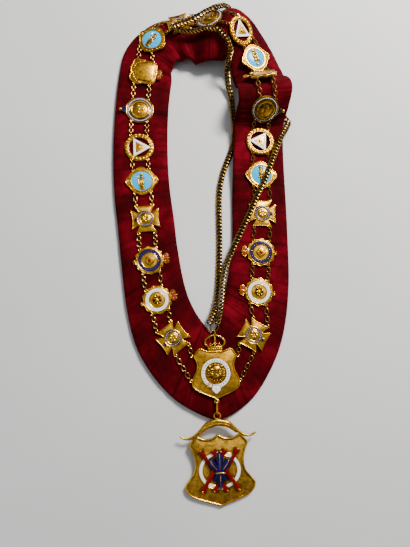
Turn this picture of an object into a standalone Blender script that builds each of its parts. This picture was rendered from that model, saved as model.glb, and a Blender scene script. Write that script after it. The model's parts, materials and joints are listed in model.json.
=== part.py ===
"""Chain of office, lying face up: a padded velvet collar that carries enamelled plaques on
short double chains, a crowned centre shield, a hanging shield, and a curb neck chain.
Metres, +Z up, the surface it lies on at z = 0."""

import math

import bpy
from mathutils import Matrix, Vector
from mathutils.bvhtree import BVHTree

# Clearance between pieces that rest on or face each other.
GAP = 0.0003
# How deep soldered pieces sink into each other.
SEAT = 0.0004
# How far above the cloth the searches for what lies below start.
PLATE_PROBE = 0.03
STRAND_PROBE = 0.02
CHAIN_PROBE = 0.2

# Velvet collar.
COLLAR_SPAN = 0.214
COLLAR_LENGTH = 0.507
BAND_WIDTH = 0.067
PAD_THICKNESS = 0.0075
NECK_RISE = 0.030
HUMP_RISE = 0.031
PUCKER_RISE = 0.004
STEPS_PER_SECTION = 3
# How upright the padding stands on a slope: 0 is square to the cloth, 1 is straight up.
PAD_UPRIGHT = 0.5

# Plaques.
PLATE_THICKNESS = 0.0018
RELIEF = 0.0011
CROSS_SIZE = 0.0325
CROSS_MEDAL_RADIUS = 0.0097
WREATH_RADIUS = 0.0172
WREATH_HOLE_RADIUS = 0.0122
QUATREFOIL_RADIUS = 0.0160
QUATREFOIL_LOBE = 0.0030
QUATREFOIL_ENAMEL_RADIUS = 0.0120
GARTER_RADIUS = 0.0162
GARTER_DOME_RADIUS = 0.0112
GARTER_TAB_REACH = 0.0090
ROSETTE_RADIUS = 0.0160
ROSETTE_SCALLOP = 0.0007
ROSETTE_RING_RADIUS = 0.0128
ROSETTE_HOLE_RADIUS = 0.0088
CARTOUCHE_LENGTH = 0.032
CARTOUCHE_WIDTH = 0.0315
ORNAMENT_REACH = 0.0095
ORNAMENT_WIDTH = 0.0125
# How far an ornament's foot lies inside the plate's edge.
ORNAMENT_SEAT = 0.0015
KEYSTONE_WIDTH = 0.0056
KEYSTONE_FOOT = 0.0085
KEYSTONE_TOP = 0.0128
WREATH_CORNER_SEAT = 0.0016
FIGURE_WIDTH = 0.0068
FIELD_LINE = 0.0012
GARTER_LINE = 0.0008
GARTER_TAB_WIDTH = 0.0160
GARTER_TAB_FOOT = 0.0120
GARTER_TIP_WIDTH = 0.0020
ROSETTE_TIP = 0.0028

# Double chains between plaques.
STRAND_SPREAD = 0.0185
STRAND_RADIUS = 0.0014
STRAND_STEPS = 5
EYE_RADIUS = 0.0018

# Centre shield.
SHIELD_WIDTH = 0.053
SHIELD_HEIGHT = 0.056
SHIELD_PLATE = 0.0020
SHIELD_RIM = 0.0010
RIM_WIDTH = 0.0016
BELT_RADIUS = 0.0166
BELT_HOLE_RADIUS = 0.0112
BELT_THICKNESS = 0.0012
MASK_RADIUS = 0.0104
MASK_HEIGHT = 0.0040
CROWN_WIDTH = 0.0230
CROWN_HEIGHT = 0.0200
CROWN_WIRE = 0.0011
CROWN_SEAT = 0.0012
LOOP_RADIUS = 0.0021
LOOP_WIRE = 0.0006

# Neck ring and curb chain.
NECK_RING_RADIUS = 0.0048
NECK_RING_WIRE = 0.0007
CURB_WIDTH = 0.0076
CURB_THICKNESS = 0.0038
CURB_SIDES = 8

# Hanging shield.
PENDANT_WIDTH = 0.076
PENDANT_HEIGHT = 0.0745
PENDANT_PLATE = 0.0024
PENDANT_RIM = 0.0012
DEVICE_LAYER = 0.0008
DEVICE_WIDTH = 0.043
# Half a baton's width as a share of half the device's width.
BATON_SHARE = 0.10
RING_STRETCH = 1.16
HORN_SPAN = 0.081
HORN_RADIUS = 0.0028
PENDANT_TURN = 1.5
PENDANT_LOOP_RADIUS = 0.0034
DROP_LINK_LENGTH = 0.0150
DROP_LINK_WIRE = 0.0008
# The line that the crown, the centre shield and the hanging shield lie along.
DROP_LINE_LEAN = 3.2
# How far that line lies to the right of the middle of the V.
DROP_LINE_SIDE = 0.0042

# One row for each section of the collar, round the loop from the point of the V up the left leg.
# outer_x and outer_y are shares of the span and the length, from the collar's middle and its foot;
# turn is the direction from the outer to the inner edge; width is a share of the band's width;
# the three lifts are shares of the neck's rise; hump is a share of the hump's rise.
SECTIONS = [
    # outer_x, outer_y, turn, width, outer_lift, middle_lift, inner_lift, hump
    (0.110, 0.001, 94.6, 1.42, 0.0, 0.0, 0.0, 0.0),
    (-0.019, 0.020, 79.7, 1.37, 0.0, 0.0, 0.0, 0.0),
    (-0.123, 0.048, 66.9, 1.32, 0.0, 0.0, 0.0, 0.0),
    (-0.229, 0.095, 54.6, 1.27, 0.0, 0.0, 0.0, 0.0),
    (-0.313, 0.152, 47.2, 1.25, 0.0, 0.0, 0.0, 0.0),
    (-0.369, 0.227, 39.0, 1.18, 0.0, 0.0, 0.0, 0.0),
    (-0.407, 0.316, 28.6, 1.08, 0.0, 0.0, 0.0, 0.0),
    (-0.441, 0.408, 17.9, 1.03, 0.0, 0.0, 0.0, 0.0),
    (-0.476, 0.502, 9.7, 1.01, 0.0, 0.0, 0.0, 0.0),
    (-0.495, 0.600, 3.4, 1.00, 0.0, 0.0, 0.0, 0.0),
    (-0.499, 0.701, 1.4, 0.99, 0.0, 0.0, 0.0, 0.0),
    (-0.490, 0.793, -5.0, 0.99, 0.0, 0.0, 0.0, 0.0),
    (-0.465, 0.860, -21.3, 0.97, 0.0, 0.08, 0.10, 0.0),
    (-0.391, 0.909, -37.3, 0.94, 0.0, 0.22, 0.24, 0.0),
    (-0.279, 0.945, -56.2, 0.94, 0.0, 0.34, 0.28, 0.0),
    (-0.140, 0.956, -74.8, 0.95, 0.05, 0.48, 0.30, 0.0),
    (0.008, 0.960, -90.2, 0.96, 0.28, 0.72, 0.38, 0.0),
    (0.144, 0.966, -100.0, 0.96, 0.70, 0.98, 0.50, 0.0),
    (0.241, 0.955, -112.5, 0.97, 0.50, 0.74, 0.50, 0.0),
    (0.320, 0.930, -125.0, 0.97, 0.14, 0.48, 0.42, 0.0),
    (0.398, 0.885, -141.7, 0.98, 0.0, 0.32, 0.32, 0.0),
    (0.451, 0.842, -154.0, 0.98, 0.0, 0.26, 0.26, 0.0),
    (0.470, 0.816, -160.0, 0.98, 0.0, 0.12, 0.16, 0.20),
    (0.480, 0.793, -164.0, 0.98, 0.0, 0.0, 0.06, 0.70),
    (0.486, 0.768, -167.0, 0.99, 0.0, 0.0, 0.02, 1.00),
    (0.485, 0.747, -168.0, 0.98, 0.02, 0.0, 0.04, 0.97),
    (0.479, 0.726, -169.5, 0.98, 0.10, 0.0, 0.10, 0.62),
    (0.473, 0.705, -171.0, 0.97, 0.06, 0.04, 0.20, 0.16),
    (0.468, 0.677, -173.0, 0.96, 0.0, 0.0, 0.25, 0.0),
    (0.471, 0.600, -175.0, 0.97, 0.0, 0.0, 0.17, 0.0),
    (0.484, 0.499, -177.3, 1.00, 0.0, 0.0, 0.0, 0.0),
    (0.494, 0.403, -180.8, 1.02, 0.0, 0.0, 0.0, 0.0),
    (0.499, 0.309, -189.0, 1.09, 0.0, 0.0, 0.0, 0.0),
    (0.481, 0.218, -202.1, 1.17, 0.0, 0.0, 0.0, 0.0),
    (0.433, 0.140, -216.5, 1.23, 0.0, 0.0, 0.05, 0.0),
    (0.335, 0.063, -236.0, 1.29, 0.0, 0.0, 0.0, 0.0),
    (0.221, 0.018, -251.0, 1.37, 0.0, 0.0, 0.0, 0.0),
]

# Gathers of the inner edge: where along the sections, how many sections wide, how high as a share
# of the pucker rise, and whether it fades out where the cloth comes down to the ground.
PUCKERS = [
    # section, spread, rise, fades
    (12.9, 0.45, 1.0, True),
    (13.7, 0.35, -0.9, True),
    (14.5, 0.40, 1.0, True),
    (15.2, 0.35, -0.9, True),
    (16.1, 0.45, 1.0, True),
    (17.1, 0.45, -0.8, True),
    (18.1, 0.45, 0.8, True),
    (33.9, 0.50, 0.9, False),
]

# The band's cross-section: across from the outer to the inner edge as shares of the band's width
# there, and height as shares of the padding. The underside is flat between its two foot points.
PROFILE = [
    # across, height
    (0.000, 0.48),
    (0.045, 0.00),
    (0.500, 0.00),
    (0.955, 0.00),
    (1.000, 0.48),
    (0.975, 0.80),
    (0.900, 0.95),
    (0.620, 1.00),
    (0.380, 1.00),
    (0.100, 0.95),
    (0.025, 0.80),
]

# The plaques in order up the left leg, round the neck and down the right leg: kind, place along
# the sections, and place across as a share of the width from the outer edge.
PLAQUES = [
    # kind, section, across
    ("cross", 3.15, 0.52),
    ("white_rosette", 4.67, 0.51),
    ("blue_rosette", 5.91, 0.49),
    ("cross", 7.11, 0.50),
    ("quatrefoil", 8.16, 0.51),
    ("wreath", 9.06, 0.48),
    ("garter", 10.01, 0.47),
    ("cartouche", 11.20, 0.47),
    ("quatrefoil", 13.05, 0.38),
    ("cross", 14.78, 0.27),
    ("garter", 16.15, 0.28),
    ("wreath", 17.95, 0.46),
    ("quatrefoil", 20.00, 0.50),
    ("cartouche", 22.95, 0.52),
    ("garter", 26.00, 0.48),
    ("wreath", 28.45, 0.48),
    ("quatrefoil", 29.40, 0.47),
    ("cross", 30.34, 0.47),
    ("blue_rosette", 31.37, 0.50),
    ("white_rosette", 32.51, 0.49),
    ("cross", 33.96, 0.44),
]

# The right half of each shield's edge from the top to the point, as shares of half the width and
# of the height.
SHIELD_EDGE = [
    (0.00, 0.92),
    (0.35, 0.93),
    (0.67, 1.00),
    (0.92, 0.84),
    (0.82, 0.75),
    (0.77, 0.66),
    (0.80, 0.55),
    (0.93, 0.44),
    (1.00, 0.34),
    (0.98, 0.26),
    (0.885, 0.20),
    (0.70, 0.145),
    (0.47, 0.095),
    (0.22, 0.05),
    (0.00, 0.00),
]
PENDANT_EDGE = [
    (0.00, 1.00),
    (0.15, 0.950),
    (0.31, 0.935),
    (0.47, 0.950),
    (0.62, 1.00),
    (0.85, 0.867),
    (0.76, 0.78),
    (0.70, 0.68),
    (0.685, 0.583),
    (0.73, 0.48),
    (0.88, 0.385),
    (1.00, 0.305),
    (0.96, 0.225),
    (0.835, 0.16),
    (0.60, 0.105),
    (0.36, 0.065),
    (0.16, 0.035),
    (0.00, 0.00),
]

# The right half of the lily from its top to its foot, as shares of half the device's width.
LILY = [
    (0.00, 1.00),
    (0.20, 0.66),
    (0.12, 0.30),
    (0.34, 0.60),
    (0.56, 0.52),
    (0.52, 0.26),
    (0.34, 0.06),
    (0.22, -0.02),
    (0.22, -0.20),
    (0.40, -0.50),
    (0.18, -0.44),
    (0.00, -0.92),
]

# The belt's hanging tail and its buckle, as shares of the belt's radius, from its lowest point.
BELT_TAIL = [
    (-0.27, 0.24),
    (-0.30, -0.06),
    (-0.06, -0.31),
    (0.06, -0.31),
    (0.30, -0.06),
    (0.27, 0.24),
]
BELT_BUCKLE = [
    (-0.63, 0.09),
    (-0.36, -0.06),
    (-0.18, 0.36),
    (-0.45, 0.51),
]

# Half of the horn bar from its middle to its tip: out as a share of half the span, down as a share
# of the drop, and thickness as a share of its radius.
HORN_DROP = 0.0166
HORN_BAR = [
    # out, down, thickness
    (0.00, 0.00, 1.00),
    (0.20, 0.09, 1.00),
    (0.33, 0.24, 0.90),
    (0.50, 0.62, 0.66),
    (0.68, 0.93, 0.58),
    (0.84, 1.00, 0.48),
    (1.00, 0.84, 0.36),
]

# The curb chain's way from the neck ring and back to it: x and y as shares of the collar's span
# and length, from its middle and its foot. It lies over what it crosses, apart from the stretches
# that run lower, at a share of the neck's rise.
NECK_CHAIN_ROUTE = [
    # x, y, height or None where it lies on top
    (0.1051, 0.2604, None),
    (0.1136, 0.3767, None),
    (0.1042, 0.4951, None),
    (0.1131, 0.5444, 0.075),
    (0.1336, 0.5779, 0.075),
    (0.1612, 0.6114, 0.083),
    (0.1766, 0.6312, 0.080),
    (0.1846, 0.6726, 0.080),
    (0.1706, 0.7219, 0.080),
    (0.1589, 0.7594, 0.083),
    (0.1402, 0.7830, 0.133),
    (0.1262, 0.8087, 0.333),
    (0.1332, 0.8363, None),
    (0.1402, 0.8521, None),
    (0.1079, 0.8718, None),
    (0.0790, 0.8866, None),
    (0.0220, 0.8935, None),
    (-0.0621, 0.8895, None),
    (-0.1449, 0.8925, None),
    (-0.1869, 0.8994, None),
    (-0.1846, 0.9083, None),
    (-0.1449, 0.9122, None),
    (-0.0921, 0.9191, None),
    (-0.0374, 0.9329, None),
    (0.0182, 0.9487, None),
    (0.0771, 0.9625, None),
    (0.1051, 0.9744, 1.033),
    (0.1252, 0.9793, 0.717),
    (0.1402, 0.9763, 0.267),
    (0.1589, 0.9527, 0.087),
    (0.2103, 0.9112, 0.080),
    (0.2710, 0.8777, 0.080),
    (0.3271, 0.8383, 0.080),
    (0.3645, 0.7988, 0.080),
    (0.4019, 0.7594, 0.080),
    (0.4486, 0.7258, 0.080),
    (0.4907, 0.7022, 0.100),
    (0.4907, 0.6854, 0.400),
    (0.4579, 0.6686, None),
    (0.4201, 0.6282, None),
    (0.3864, 0.5872, None),
    (0.3584, 0.5519, None),
    (0.3257, 0.5191, None),
    (0.2986, 0.4943, None),
    (0.2771, 0.4698, None),
    (0.2397, 0.4333, None),
    (0.2079, 0.4016, None),
    (0.1710, 0.3655, None),
    (0.1505, 0.3418, None),
    (0.1332, 0.3069, None),
    (0.1276, 0.2604, None),
]
NECK_CHAIN_POINTS = 66


def cubic(values, place, per_loop=0.0):
    """A smooth closed curve through the values, where each round of the loop adds per_loop."""
    count = len(values)
    start = math.floor(place)
    share = place - start
    before, here, there, after = [
        values[(start + step) % count] + per_loop * ((start + step) // count)
        for step in (-1, 0, 1, 2)
    ]
    bend = 2 * before - 5 * here + 4 * there - after
    twist = 3 * (here - there) + after - before
    return here + 0.5 * share * (there - before + share * (bend + share * twist))


def section_at(place):
    """The outer point, the direction across, the width, the three lifts and the hump."""
    columns = list(zip(*SECTIONS))
    turn = math.radians(cubic(columns[2], place, -360.0))
    outer = Vector((cubic(columns[0], place) * COLLAR_SPAN, cubic(columns[1], place) * COLLAR_LENGTH, 0))
    across = Vector((math.cos(turn), math.sin(turn), 0))
    width = cubic(columns[3], place) * BAND_WIDTH
    lifts = [cubic(columns[index], place) * NECK_RISE for index in (4, 5, 6)]
    hump = cubic(columns[7], place) * HUMP_RISE
    return outer, across, width, lifts, hump


def pucker_at(place, share, lift):
    """How far a gather of the inner edge raises cloth that is lifted already."""
    raised = min(max(lift / PUCKER_RISE, 0.0), 1.0)
    total = 0.0
    for centre, spread, rise, fades in PUCKERS:
        total += rise * math.exp(-(((place - centre) / spread) ** 2)) * (raised if fades else 1.0)
    reach = min(max((share - 0.45) / 0.55, 0.0), 1.0)
    return PUCKER_RISE * total * reach * reach


def base_point(place, share):
    """A point of the collar's underside."""
    outer, across, width, lifts, hump = section_at(place)
    low, middle, high = lifts
    lift = low * (1 - 2 * share) * (1 - share) + middle * 4 * share * (1 - share)
    lift += high * share * (2 * share - 1) + hump
    lift += pucker_at(place, share, lift)
    point = outer + across * width * share
    point.z = max(lift, 0.0)
    return point


def pad_direction(place, share):
    """Which way the padding stands at a point of the underside."""
    inner = min(max(share, 0.03), 0.97)
    along = base_point(place + 0.1, inner) - base_point(place - 0.1, inner)
    across = base_point(place, inner + 0.03) - base_point(place, inner - 0.03)
    normal = across.cross(along).normalized()
    return normal * (1 - PAD_UPRIGHT) + Vector((0, 0, PAD_UPRIGHT))


def pad_point(place, share, height):
    """A point of the padded band: height is a share of its thickness."""
    return base_point(place, share) + pad_direction(place, share) * PAD_THICKNESS * height


def material(name, colour, roughness, metallic):
    """A Principled material."""
    made = bpy.data.materials.new(name)
    made.use_nodes = True
    shader = made.node_tree.nodes["Principled BSDF"]
    shader.inputs["Base Color"].default_value = (*colour, 1)
    shader.inputs["Roughness"].default_value = roughness
    shader.inputs["Metallic"].default_value = metallic
    return made


def add_object(name, vertices, faces):
    """An object from points and faces."""
    mesh = bpy.data.meshes.new(name)
    mesh.from_pydata([tuple(point) for point in vertices], [], faces)
    mesh.validate()
    obj = bpy.data.objects.new(name, mesh)
    bpy.context.scene.collection.objects.link(obj)
    return obj


def finish(obj, finish_material, smooth_degrees=35):
    """Gives a piece its material and shades its round faces smooth."""
    obj.data.materials.clear()
    obj.data.materials.append(finish_material)
    obj.data.shade_smooth()
    obj.data.set_sharp_from_angle(angle=math.radians(smooth_degrees))
    return obj


def stack(loops, capped=True):
    """Points and faces of a solid through loops of equally many points, anticlockwise from above,
    from the bottom loop to the top one. Without caps the last loop joins the first."""
    count = len(loops[0])
    vertices = [point for loop in loops for point in loop]
    faces = []
    levels = len(loops)
    for level in range(levels if not capped else levels - 1):
        low = level * count
        high = (level + 1) % levels * count
        for index in range(count):
            after = (index + 1) % count
            faces.append((low + index, low + after, high + after, high + index))
    if capped:
        faces.append(tuple(reversed(range(count))))
        faces.append(tuple(range((levels - 1) * count, levels * count)))
    return vertices, faces


def at_height(outline, height):
    """The flat outline as points at one height."""
    return [(x, y, height) for x, y in outline]


def prism(outline, bottom, top):
    """A solid with upright sides."""
    return add_object("prism", *stack([at_height(outline, bottom), at_height(outline, top)]))


def annulus(outer, inner, bottom, top):
    """An upright-sided solid between two outlines of equally many points."""
    loops = [
        at_height(inner, bottom),
        at_height(outer, bottom),
        at_height(outer, top),
        at_height(inner, top),
    ]
    return add_object("annulus", *stack(loops, capped=False))


def circle(radius, sides, centre=(0, 0), start=0.0):
    """A round outline, anticlockwise."""
    angles = [start + math.tau * index / sides for index in range(sides)]
    return [(centre[0] + radius * math.cos(a), centre[1] + radius * math.sin(a)) for a in angles]


def polar(reach, sides):
    """An outline whose distance from the middle is a function of the angle."""
    angles = [math.tau * index / sides for index in range(sides)]
    return [(reach(a) * math.cos(a), reach(a) * math.sin(a)) for a in angles]


def dome(radius, bottom, height, sides=16, centre=(0, 0), long=1.0):
    """A low rounded boss on a short upright foot."""
    loops = []
    for reach, rise in ((1.0, 0.0), (0.82, 0.62), (0.42, 1.0)):
        ring = [(x * long + centre[0], y + centre[1]) for x, y in circle(radius * reach, sides)]
        loops.append(at_height(ring, bottom + height * rise))
    foot = [(x, y, bottom - SEAT) for x, y, _ in loops[0]]
    return add_object("dome", *stack([foot] + loops))


def tube(points, radius, sides=6, radii=None):
    """A round bar along a route, with flat ends."""
    points = [Vector(point) for point in points]
    last = len(points) - 1
    side = None
    loops = []
    for index, point in enumerate(points):
        along = (points[min(index + 1, last)] - points[max(index - 1, 0)]).normalized()
        if side is None:
            side = along.orthogonal().normalized()
        side = (side - along * side.dot(along)).normalized()
        up = along.cross(side)
        reach = radius if radii is None else radii[index]
        loop = []
        for step in range(sides):
            angle = math.tau * (step + 0.5) / sides
            loop.append(point + (side * math.cos(angle) + up * math.sin(angle)) * reach)
        loops.append(loop)
    return add_object("tube", *stack(loops))


def hoop(centre, along, across, half_length, half_width, wire, sides=14, around=6):
    """A closed link: an oval in the plane of two directions, straight along its long sides."""
    centre = Vector(centre)
    along = Vector(along).normalized()
    across = Vector(across).normalized()
    normal = along.cross(across)
    straight = half_length - half_width
    loops = []
    for index in range(sides):
        angle = math.tau * (index + 0.5) / sides
        outward = along * math.cos(angle) + across * math.sin(angle)
        shift = along * math.copysign(straight, math.cos(angle))
        middle = centre + outward * half_width + shift
        loop = []
        for step in range(around):
            turn = math.tau * step / around
            loop.append(middle + (outward * math.cos(turn) - normal * math.sin(turn)) * wire)
        loops.append(loop)
    return add_object("hoop", *stack(loops, capped=False))


def evaluated_mesh(obj):
    """The object's mesh with its modifiers, in its own space."""
    graph = bpy.context.evaluated_depsgraph_get()
    return bpy.data.meshes.new_from_object(obj.evaluated_get(graph))


def fuse(name, pieces, cutters=()):
    """One object from pieces that overlap, less the cutters."""
    body = pieces[0]
    for index, piece in enumerate([*pieces[1:], *cutters]):
        boolean = body.modifiers.new("Join", "BOOLEAN")
        boolean.operation = "UNION" if index < len(pieces) - 1 else "DIFFERENCE"
        boolean.solver = "EXACT"
        boolean.object = piece
    bpy.context.view_layer.update()
    mesh = evaluated_mesh(body)
    for piece in [*pieces, *cutters]:
        bpy.data.objects.remove(piece, do_unlink=True)
    mesh.name = name
    made = bpy.data.objects.new(name, mesh)
    bpy.context.scene.collection.objects.link(made)
    return made


def world_tree(objects):
    """One search tree of several objects' surfaces in world space."""
    vertices = []
    faces = []
    for obj in objects:
        first = len(vertices)
        vertices += [obj.matrix_world @ vertex.co for vertex in obj.data.vertices]
        faces += [[first + index for index in face.vertices] for face in obj.data.polygons]
    return BVHTree.FromPolygons(vertices, faces)


def make_collar(velvet):
    """The padded velvet band, a closed ring through its sections."""
    steps = len(SECTIONS) * STEPS_PER_SECTION
    vertices = []
    for step in range(steps):
        place = step / STEPS_PER_SECTION
        vertices += [pad_point(place, across, height) for across, height in PROFILE]
    count = len(PROFILE)
    faces = []
    for step in range(steps):
        here = step * count
        there = (step + 1) % steps * count
        for index in range(count):
            after = (index + 1) % count
            faces.append((here + index, there + index, there + after, here + after))
    collar = add_object("velvet_collar", vertices, faces)
    return finish(collar, velvet, 60)


def plate_frame(place, share, heading, tree, reach):
    """Where a flat plate rests on the padding: its x runs along the chain, its y to the outer
    edge and its z up out of the cloth."""
    length = (pad_point(place + 0.5, share, 1) - pad_point(place - 0.5, share, 1)).length
    step = 0.7 * reach / length
    along = pad_point(place + step, share, 1) - pad_point(place - step, share, 1)
    spread = 0.7 * reach / section_at(place)[2]
    across = pad_point(place, share - spread, 1) - pad_point(place, share + spread, 1)
    normal = along.cross(across).normalized()
    side = normal.cross(heading).normalized()
    along = side.cross(normal)
    middle = pad_point(place, share, 1)
    highest = -reach
    for ring in (0.0, 0.35, 0.7, 1.0, 1.12):
        for index in range(24):
            angle = math.tau * index / 24
            probe = middle + (along * math.cos(angle) + side * math.sin(angle)) * reach * ring
            hit = tree.ray_cast(probe + normal * PLATE_PROBE, -normal, 2 * PLATE_PROBE)[0]
            if hit is not None:
                highest = max(highest, (hit - middle).dot(normal))
    origin = middle + normal * (highest + GAP)
    rotation = Matrix((along, side, normal)).transposed()
    return Matrix.Translation(origin) @ rotation.to_4x4()


def plaque_frames(tree):
    """Every plaque's frame, headed along the line from the piece before it to the next."""
    shield = drop_frame(SHIELD_TIP - SHIELD_HEIGHT / 2, SHIELD_BACK).translation
    middles = [shield] + [pad_point(place, share, 1) for _, place, share in PLAQUES] + [shield]
    frames = []
    for index, (kind, place, share) in enumerate(PLAQUES):
        heading = middles[index + 2] - middles[index]
        frames.append(plate_frame(place, share, heading, tree, KINDS[kind][1]))
    return frames


def cross_outline():
    """Four broad arms with straight ends and narrow notches between them."""
    end = CROSS_SIZE / 2
    half = 0.72 * end
    notch = CROSS_MEDAL_RADIUS * 0.98
    outline = []
    for quarter in range(4):
        turn = Matrix.Rotation(quarter * math.pi / 2, 2)
        for point in ((end, -half), (end * 0.93, 0), (end, half)):
            outline.append(tuple(turn @ Vector(point)))
        outline.append(tuple(turn @ (Vector((1, 1)).normalized() * notch)))
    return outline


def crown_outline(width, height, base):
    """A small crown seen flat, its band on the line y = base and its top towards -y."""
    half = width / 2
    points = (
        (0.55, 0.0),
        (1.00, -0.50),
        (0.62, -0.72),
        (0.22, -0.80),
        (0.22, -1.00),
        (-0.22, -1.00),
        (-0.22, -0.80),
        (-0.62, -0.72),
        (-1.00, -0.50),
        (-0.55, 0.0),
    )
    return [(x * half, base + y * height) for x, y in reversed(points)]


def boss_relief(radius, bottom):
    """A raised medal with a rounded middle."""
    return [
        prism(circle(radius, 16), PLATE_THICKNESS - SEAT, bottom),
        dome(radius * 0.56, bottom, RELIEF, 7),
    ]


def cross_pieces():
    """A cross with a round medal and a small keystone on the outer arm."""
    top = PLATE_THICKNESS + RELIEF * 0.6
    wide = KEYSTONE_WIDTH / 2
    narrow = wide * 0.71
    keystone = [(-narrow, KEYSTONE_FOOT), (narrow, KEYSTONE_FOOT)]
    keystone += [(wide, KEYSTONE_TOP), (-wide, KEYSTONE_TOP)]
    plate = prism(cross_outline(), 0, PLATE_THICKNESS)
    stone = prism(keystone, PLATE_THICKNESS - SEAT, top * 0.95)
    return [plate, *boss_relief(CROSS_MEDAL_RADIUS, top), stone]


def wreath_pieces():
    """A pierced wreath round a triangle whose corners meet it, with a boss in the middle."""
    top = PLATE_THICKNESS + RELIEF * 0.5
    ring = annulus(circle(WREATH_RADIUS, 16), circle(WREATH_HOLE_RADIUS, 16), 0, top)
    corners = circle(WREATH_HOLE_RADIUS + WREATH_CORNER_SEAT, 3, start=-math.pi / 2)
    triangle = prism(corners, SEAT, PLATE_THICKNESS)
    return [ring, triangle, dome(WREATH_HOLE_RADIUS * 0.34, PLATE_THICKNESS, RELIEF, 8)]


def quatrefoil_outline():
    """A round plate with a lobe on each side and smaller ones towards its neighbours."""

    def reach(angle):
        lobe = max(math.cos(4 * angle), 0.0)
        side = 1.0 if abs(math.sin(angle)) > 0.7 else 0.45
        return QUATREFOIL_RADIUS + QUATREFOIL_LOBE * side * lobe

    return polar(reach, 24)


def quatrefoil_pieces():
    """A lobed plate with a raised round field and an upright figure across it."""
    top = PLATE_THICKNESS + RELIEF * 0.5
    plate = prism(quatrefoil_outline(), 0, PLATE_THICKNESS)
    rim = annulus(
        circle(QUATREFOIL_ENAMEL_RADIUS + FIELD_LINE, 16),
        circle(QUATREFOIL_ENAMEL_RADIUS, 16),
        PLATE_THICKNESS - SEAT,
        top,
    )
    half = FIGURE_WIDTH / 2
    figure = dome(half, PLATE_THICKNESS, RELIEF * 1.3, 8, long=QUATREFOIL_ENAMEL_RADIUS * 0.9 / half)
    return [plate, rim, figure]


def garter_pieces():
    """A belt round a high dome, with a pointed tab and a bead on the outer side."""
    top = PLATE_THICKNESS + RELIEF * 0.5
    plate = prism(circle(GARTER_RADIUS, 16), 0, PLATE_THICKNESS)
    belt = annulus(
        circle(GARTER_RADIUS - GARTER_LINE, 16),
        circle(GARTER_DOME_RADIUS + GARTER_LINE, 16),
        PLATE_THICKNESS - SEAT,
        top,
    )
    tip = GARTER_RADIUS + GARTER_TAB_REACH * 0.62
    wide = GARTER_TAB_WIDTH / 2
    narrow = GARTER_TIP_WIDTH / 2
    tab = [(-wide, GARTER_TAB_FOOT), (wide, GARTER_TAB_FOOT), (narrow, tip), (-narrow, tip)]
    tab = prism(tab, SEAT, PLATE_THICKNESS - SEAT)
    bead_place = (0, tip + GARTER_TAB_REACH * 0.14)
    bead = dome(GARTER_TAB_REACH * 0.24, SEAT * 2, PLATE_THICKNESS, 6, bead_place)
    return [plate, belt, dome(GARTER_DOME_RADIUS, PLATE_THICKNESS, RELIEF * 2.6, 12), tab, bead]


def rosette_outline():
    """A round plate with a scalloped edge."""
    return polar(lambda angle: ROSETTE_RADIUS + ROSETTE_SCALLOP * math.cos(12 * angle), 24)


def rosette_pieces():
    """A scalloped plate with a raised ring, a boss, a crown on the inner side and a tip outside."""
    top = PLATE_THICKNESS + RELIEF * 0.6
    plate = prism(rosette_outline(), 0, PLATE_THICKNESS)
    ring = annulus(
        circle(ROSETTE_RING_RADIUS, 16), circle(ROSETTE_HOLE_RADIUS, 16), PLATE_THICKNESS - SEAT, top
    )
    crown = crown_outline(ORNAMENT_WIDTH, ORNAMENT_REACH, -ROSETTE_RADIUS + ORNAMENT_SEAT)
    crown = prism(crown, SEAT, PLATE_THICKNESS + SEAT)
    tip = circle(ROSETTE_TIP, 3, (0, ROSETTE_RADIUS + ROSETTE_TIP * 0.3), math.pi / 2)
    tip = prism(tip, SEAT, PLATE_THICKNESS - SEAT)
    return [plate, ring, dome(ROSETTE_HOLE_RADIUS * 0.75, PLATE_THICKNESS, RELIEF, 7), crown, tip]


def cartouche_outline():
    """A shield-shaped plate with a scrolled edge on the outer side."""

    def reach(angle):
        x = math.cos(angle) / (CARTOUCHE_LENGTH / 2)
        y = math.sin(angle) / (CARTOUCHE_WIDTH / 2)
        box = 1 / (abs(x) ** 4 + abs(y) ** 4) ** 0.25
        scroll = 0.035 * math.cos(9 * angle) if math.sin(angle) > 0 else 0.0
        waist = -0.10 * max(math.cos(2 * angle), 0.0) if math.sin(angle) < 0 else 0.0
        return box * (1 + scroll + waist)

    return polar(reach, 28)


def cartouche_pieces():
    """A scrolled plate with a raised plain shield and a crown on the inner side."""
    top = PLATE_THICKNESS + RELIEF * 0.8
    outline = cartouche_outline()
    plate = prism(outline, 0, PLATE_THICKNESS)
    length = CARTOUCHE_LENGTH * 0.32
    width = CARTOUCHE_WIDTH * 0.36
    shoulder = length * 0.9
    face = [(-length, -width), (length, -width)]
    face += [(shoulder, width * 0.6), (0, width), (-shoulder, width * 0.6)]
    crown = crown_outline(ORNAMENT_WIDTH, ORNAMENT_REACH, -CARTOUCHE_WIDTH / 2 + ORNAMENT_SEAT)
    crown = prism(crown, SEAT, PLATE_THICKNESS + SEAT)
    return [plate, prism(face, PLATE_THICKNESS - SEAT, top), crown]


def round_eye(radius):
    """How far along the collar the chain eyes sit on a round plate."""
    return math.sqrt(radius**2 - (STRAND_SPREAD / 2) ** 2) + EYE_RADIUS * 0.4


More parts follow.
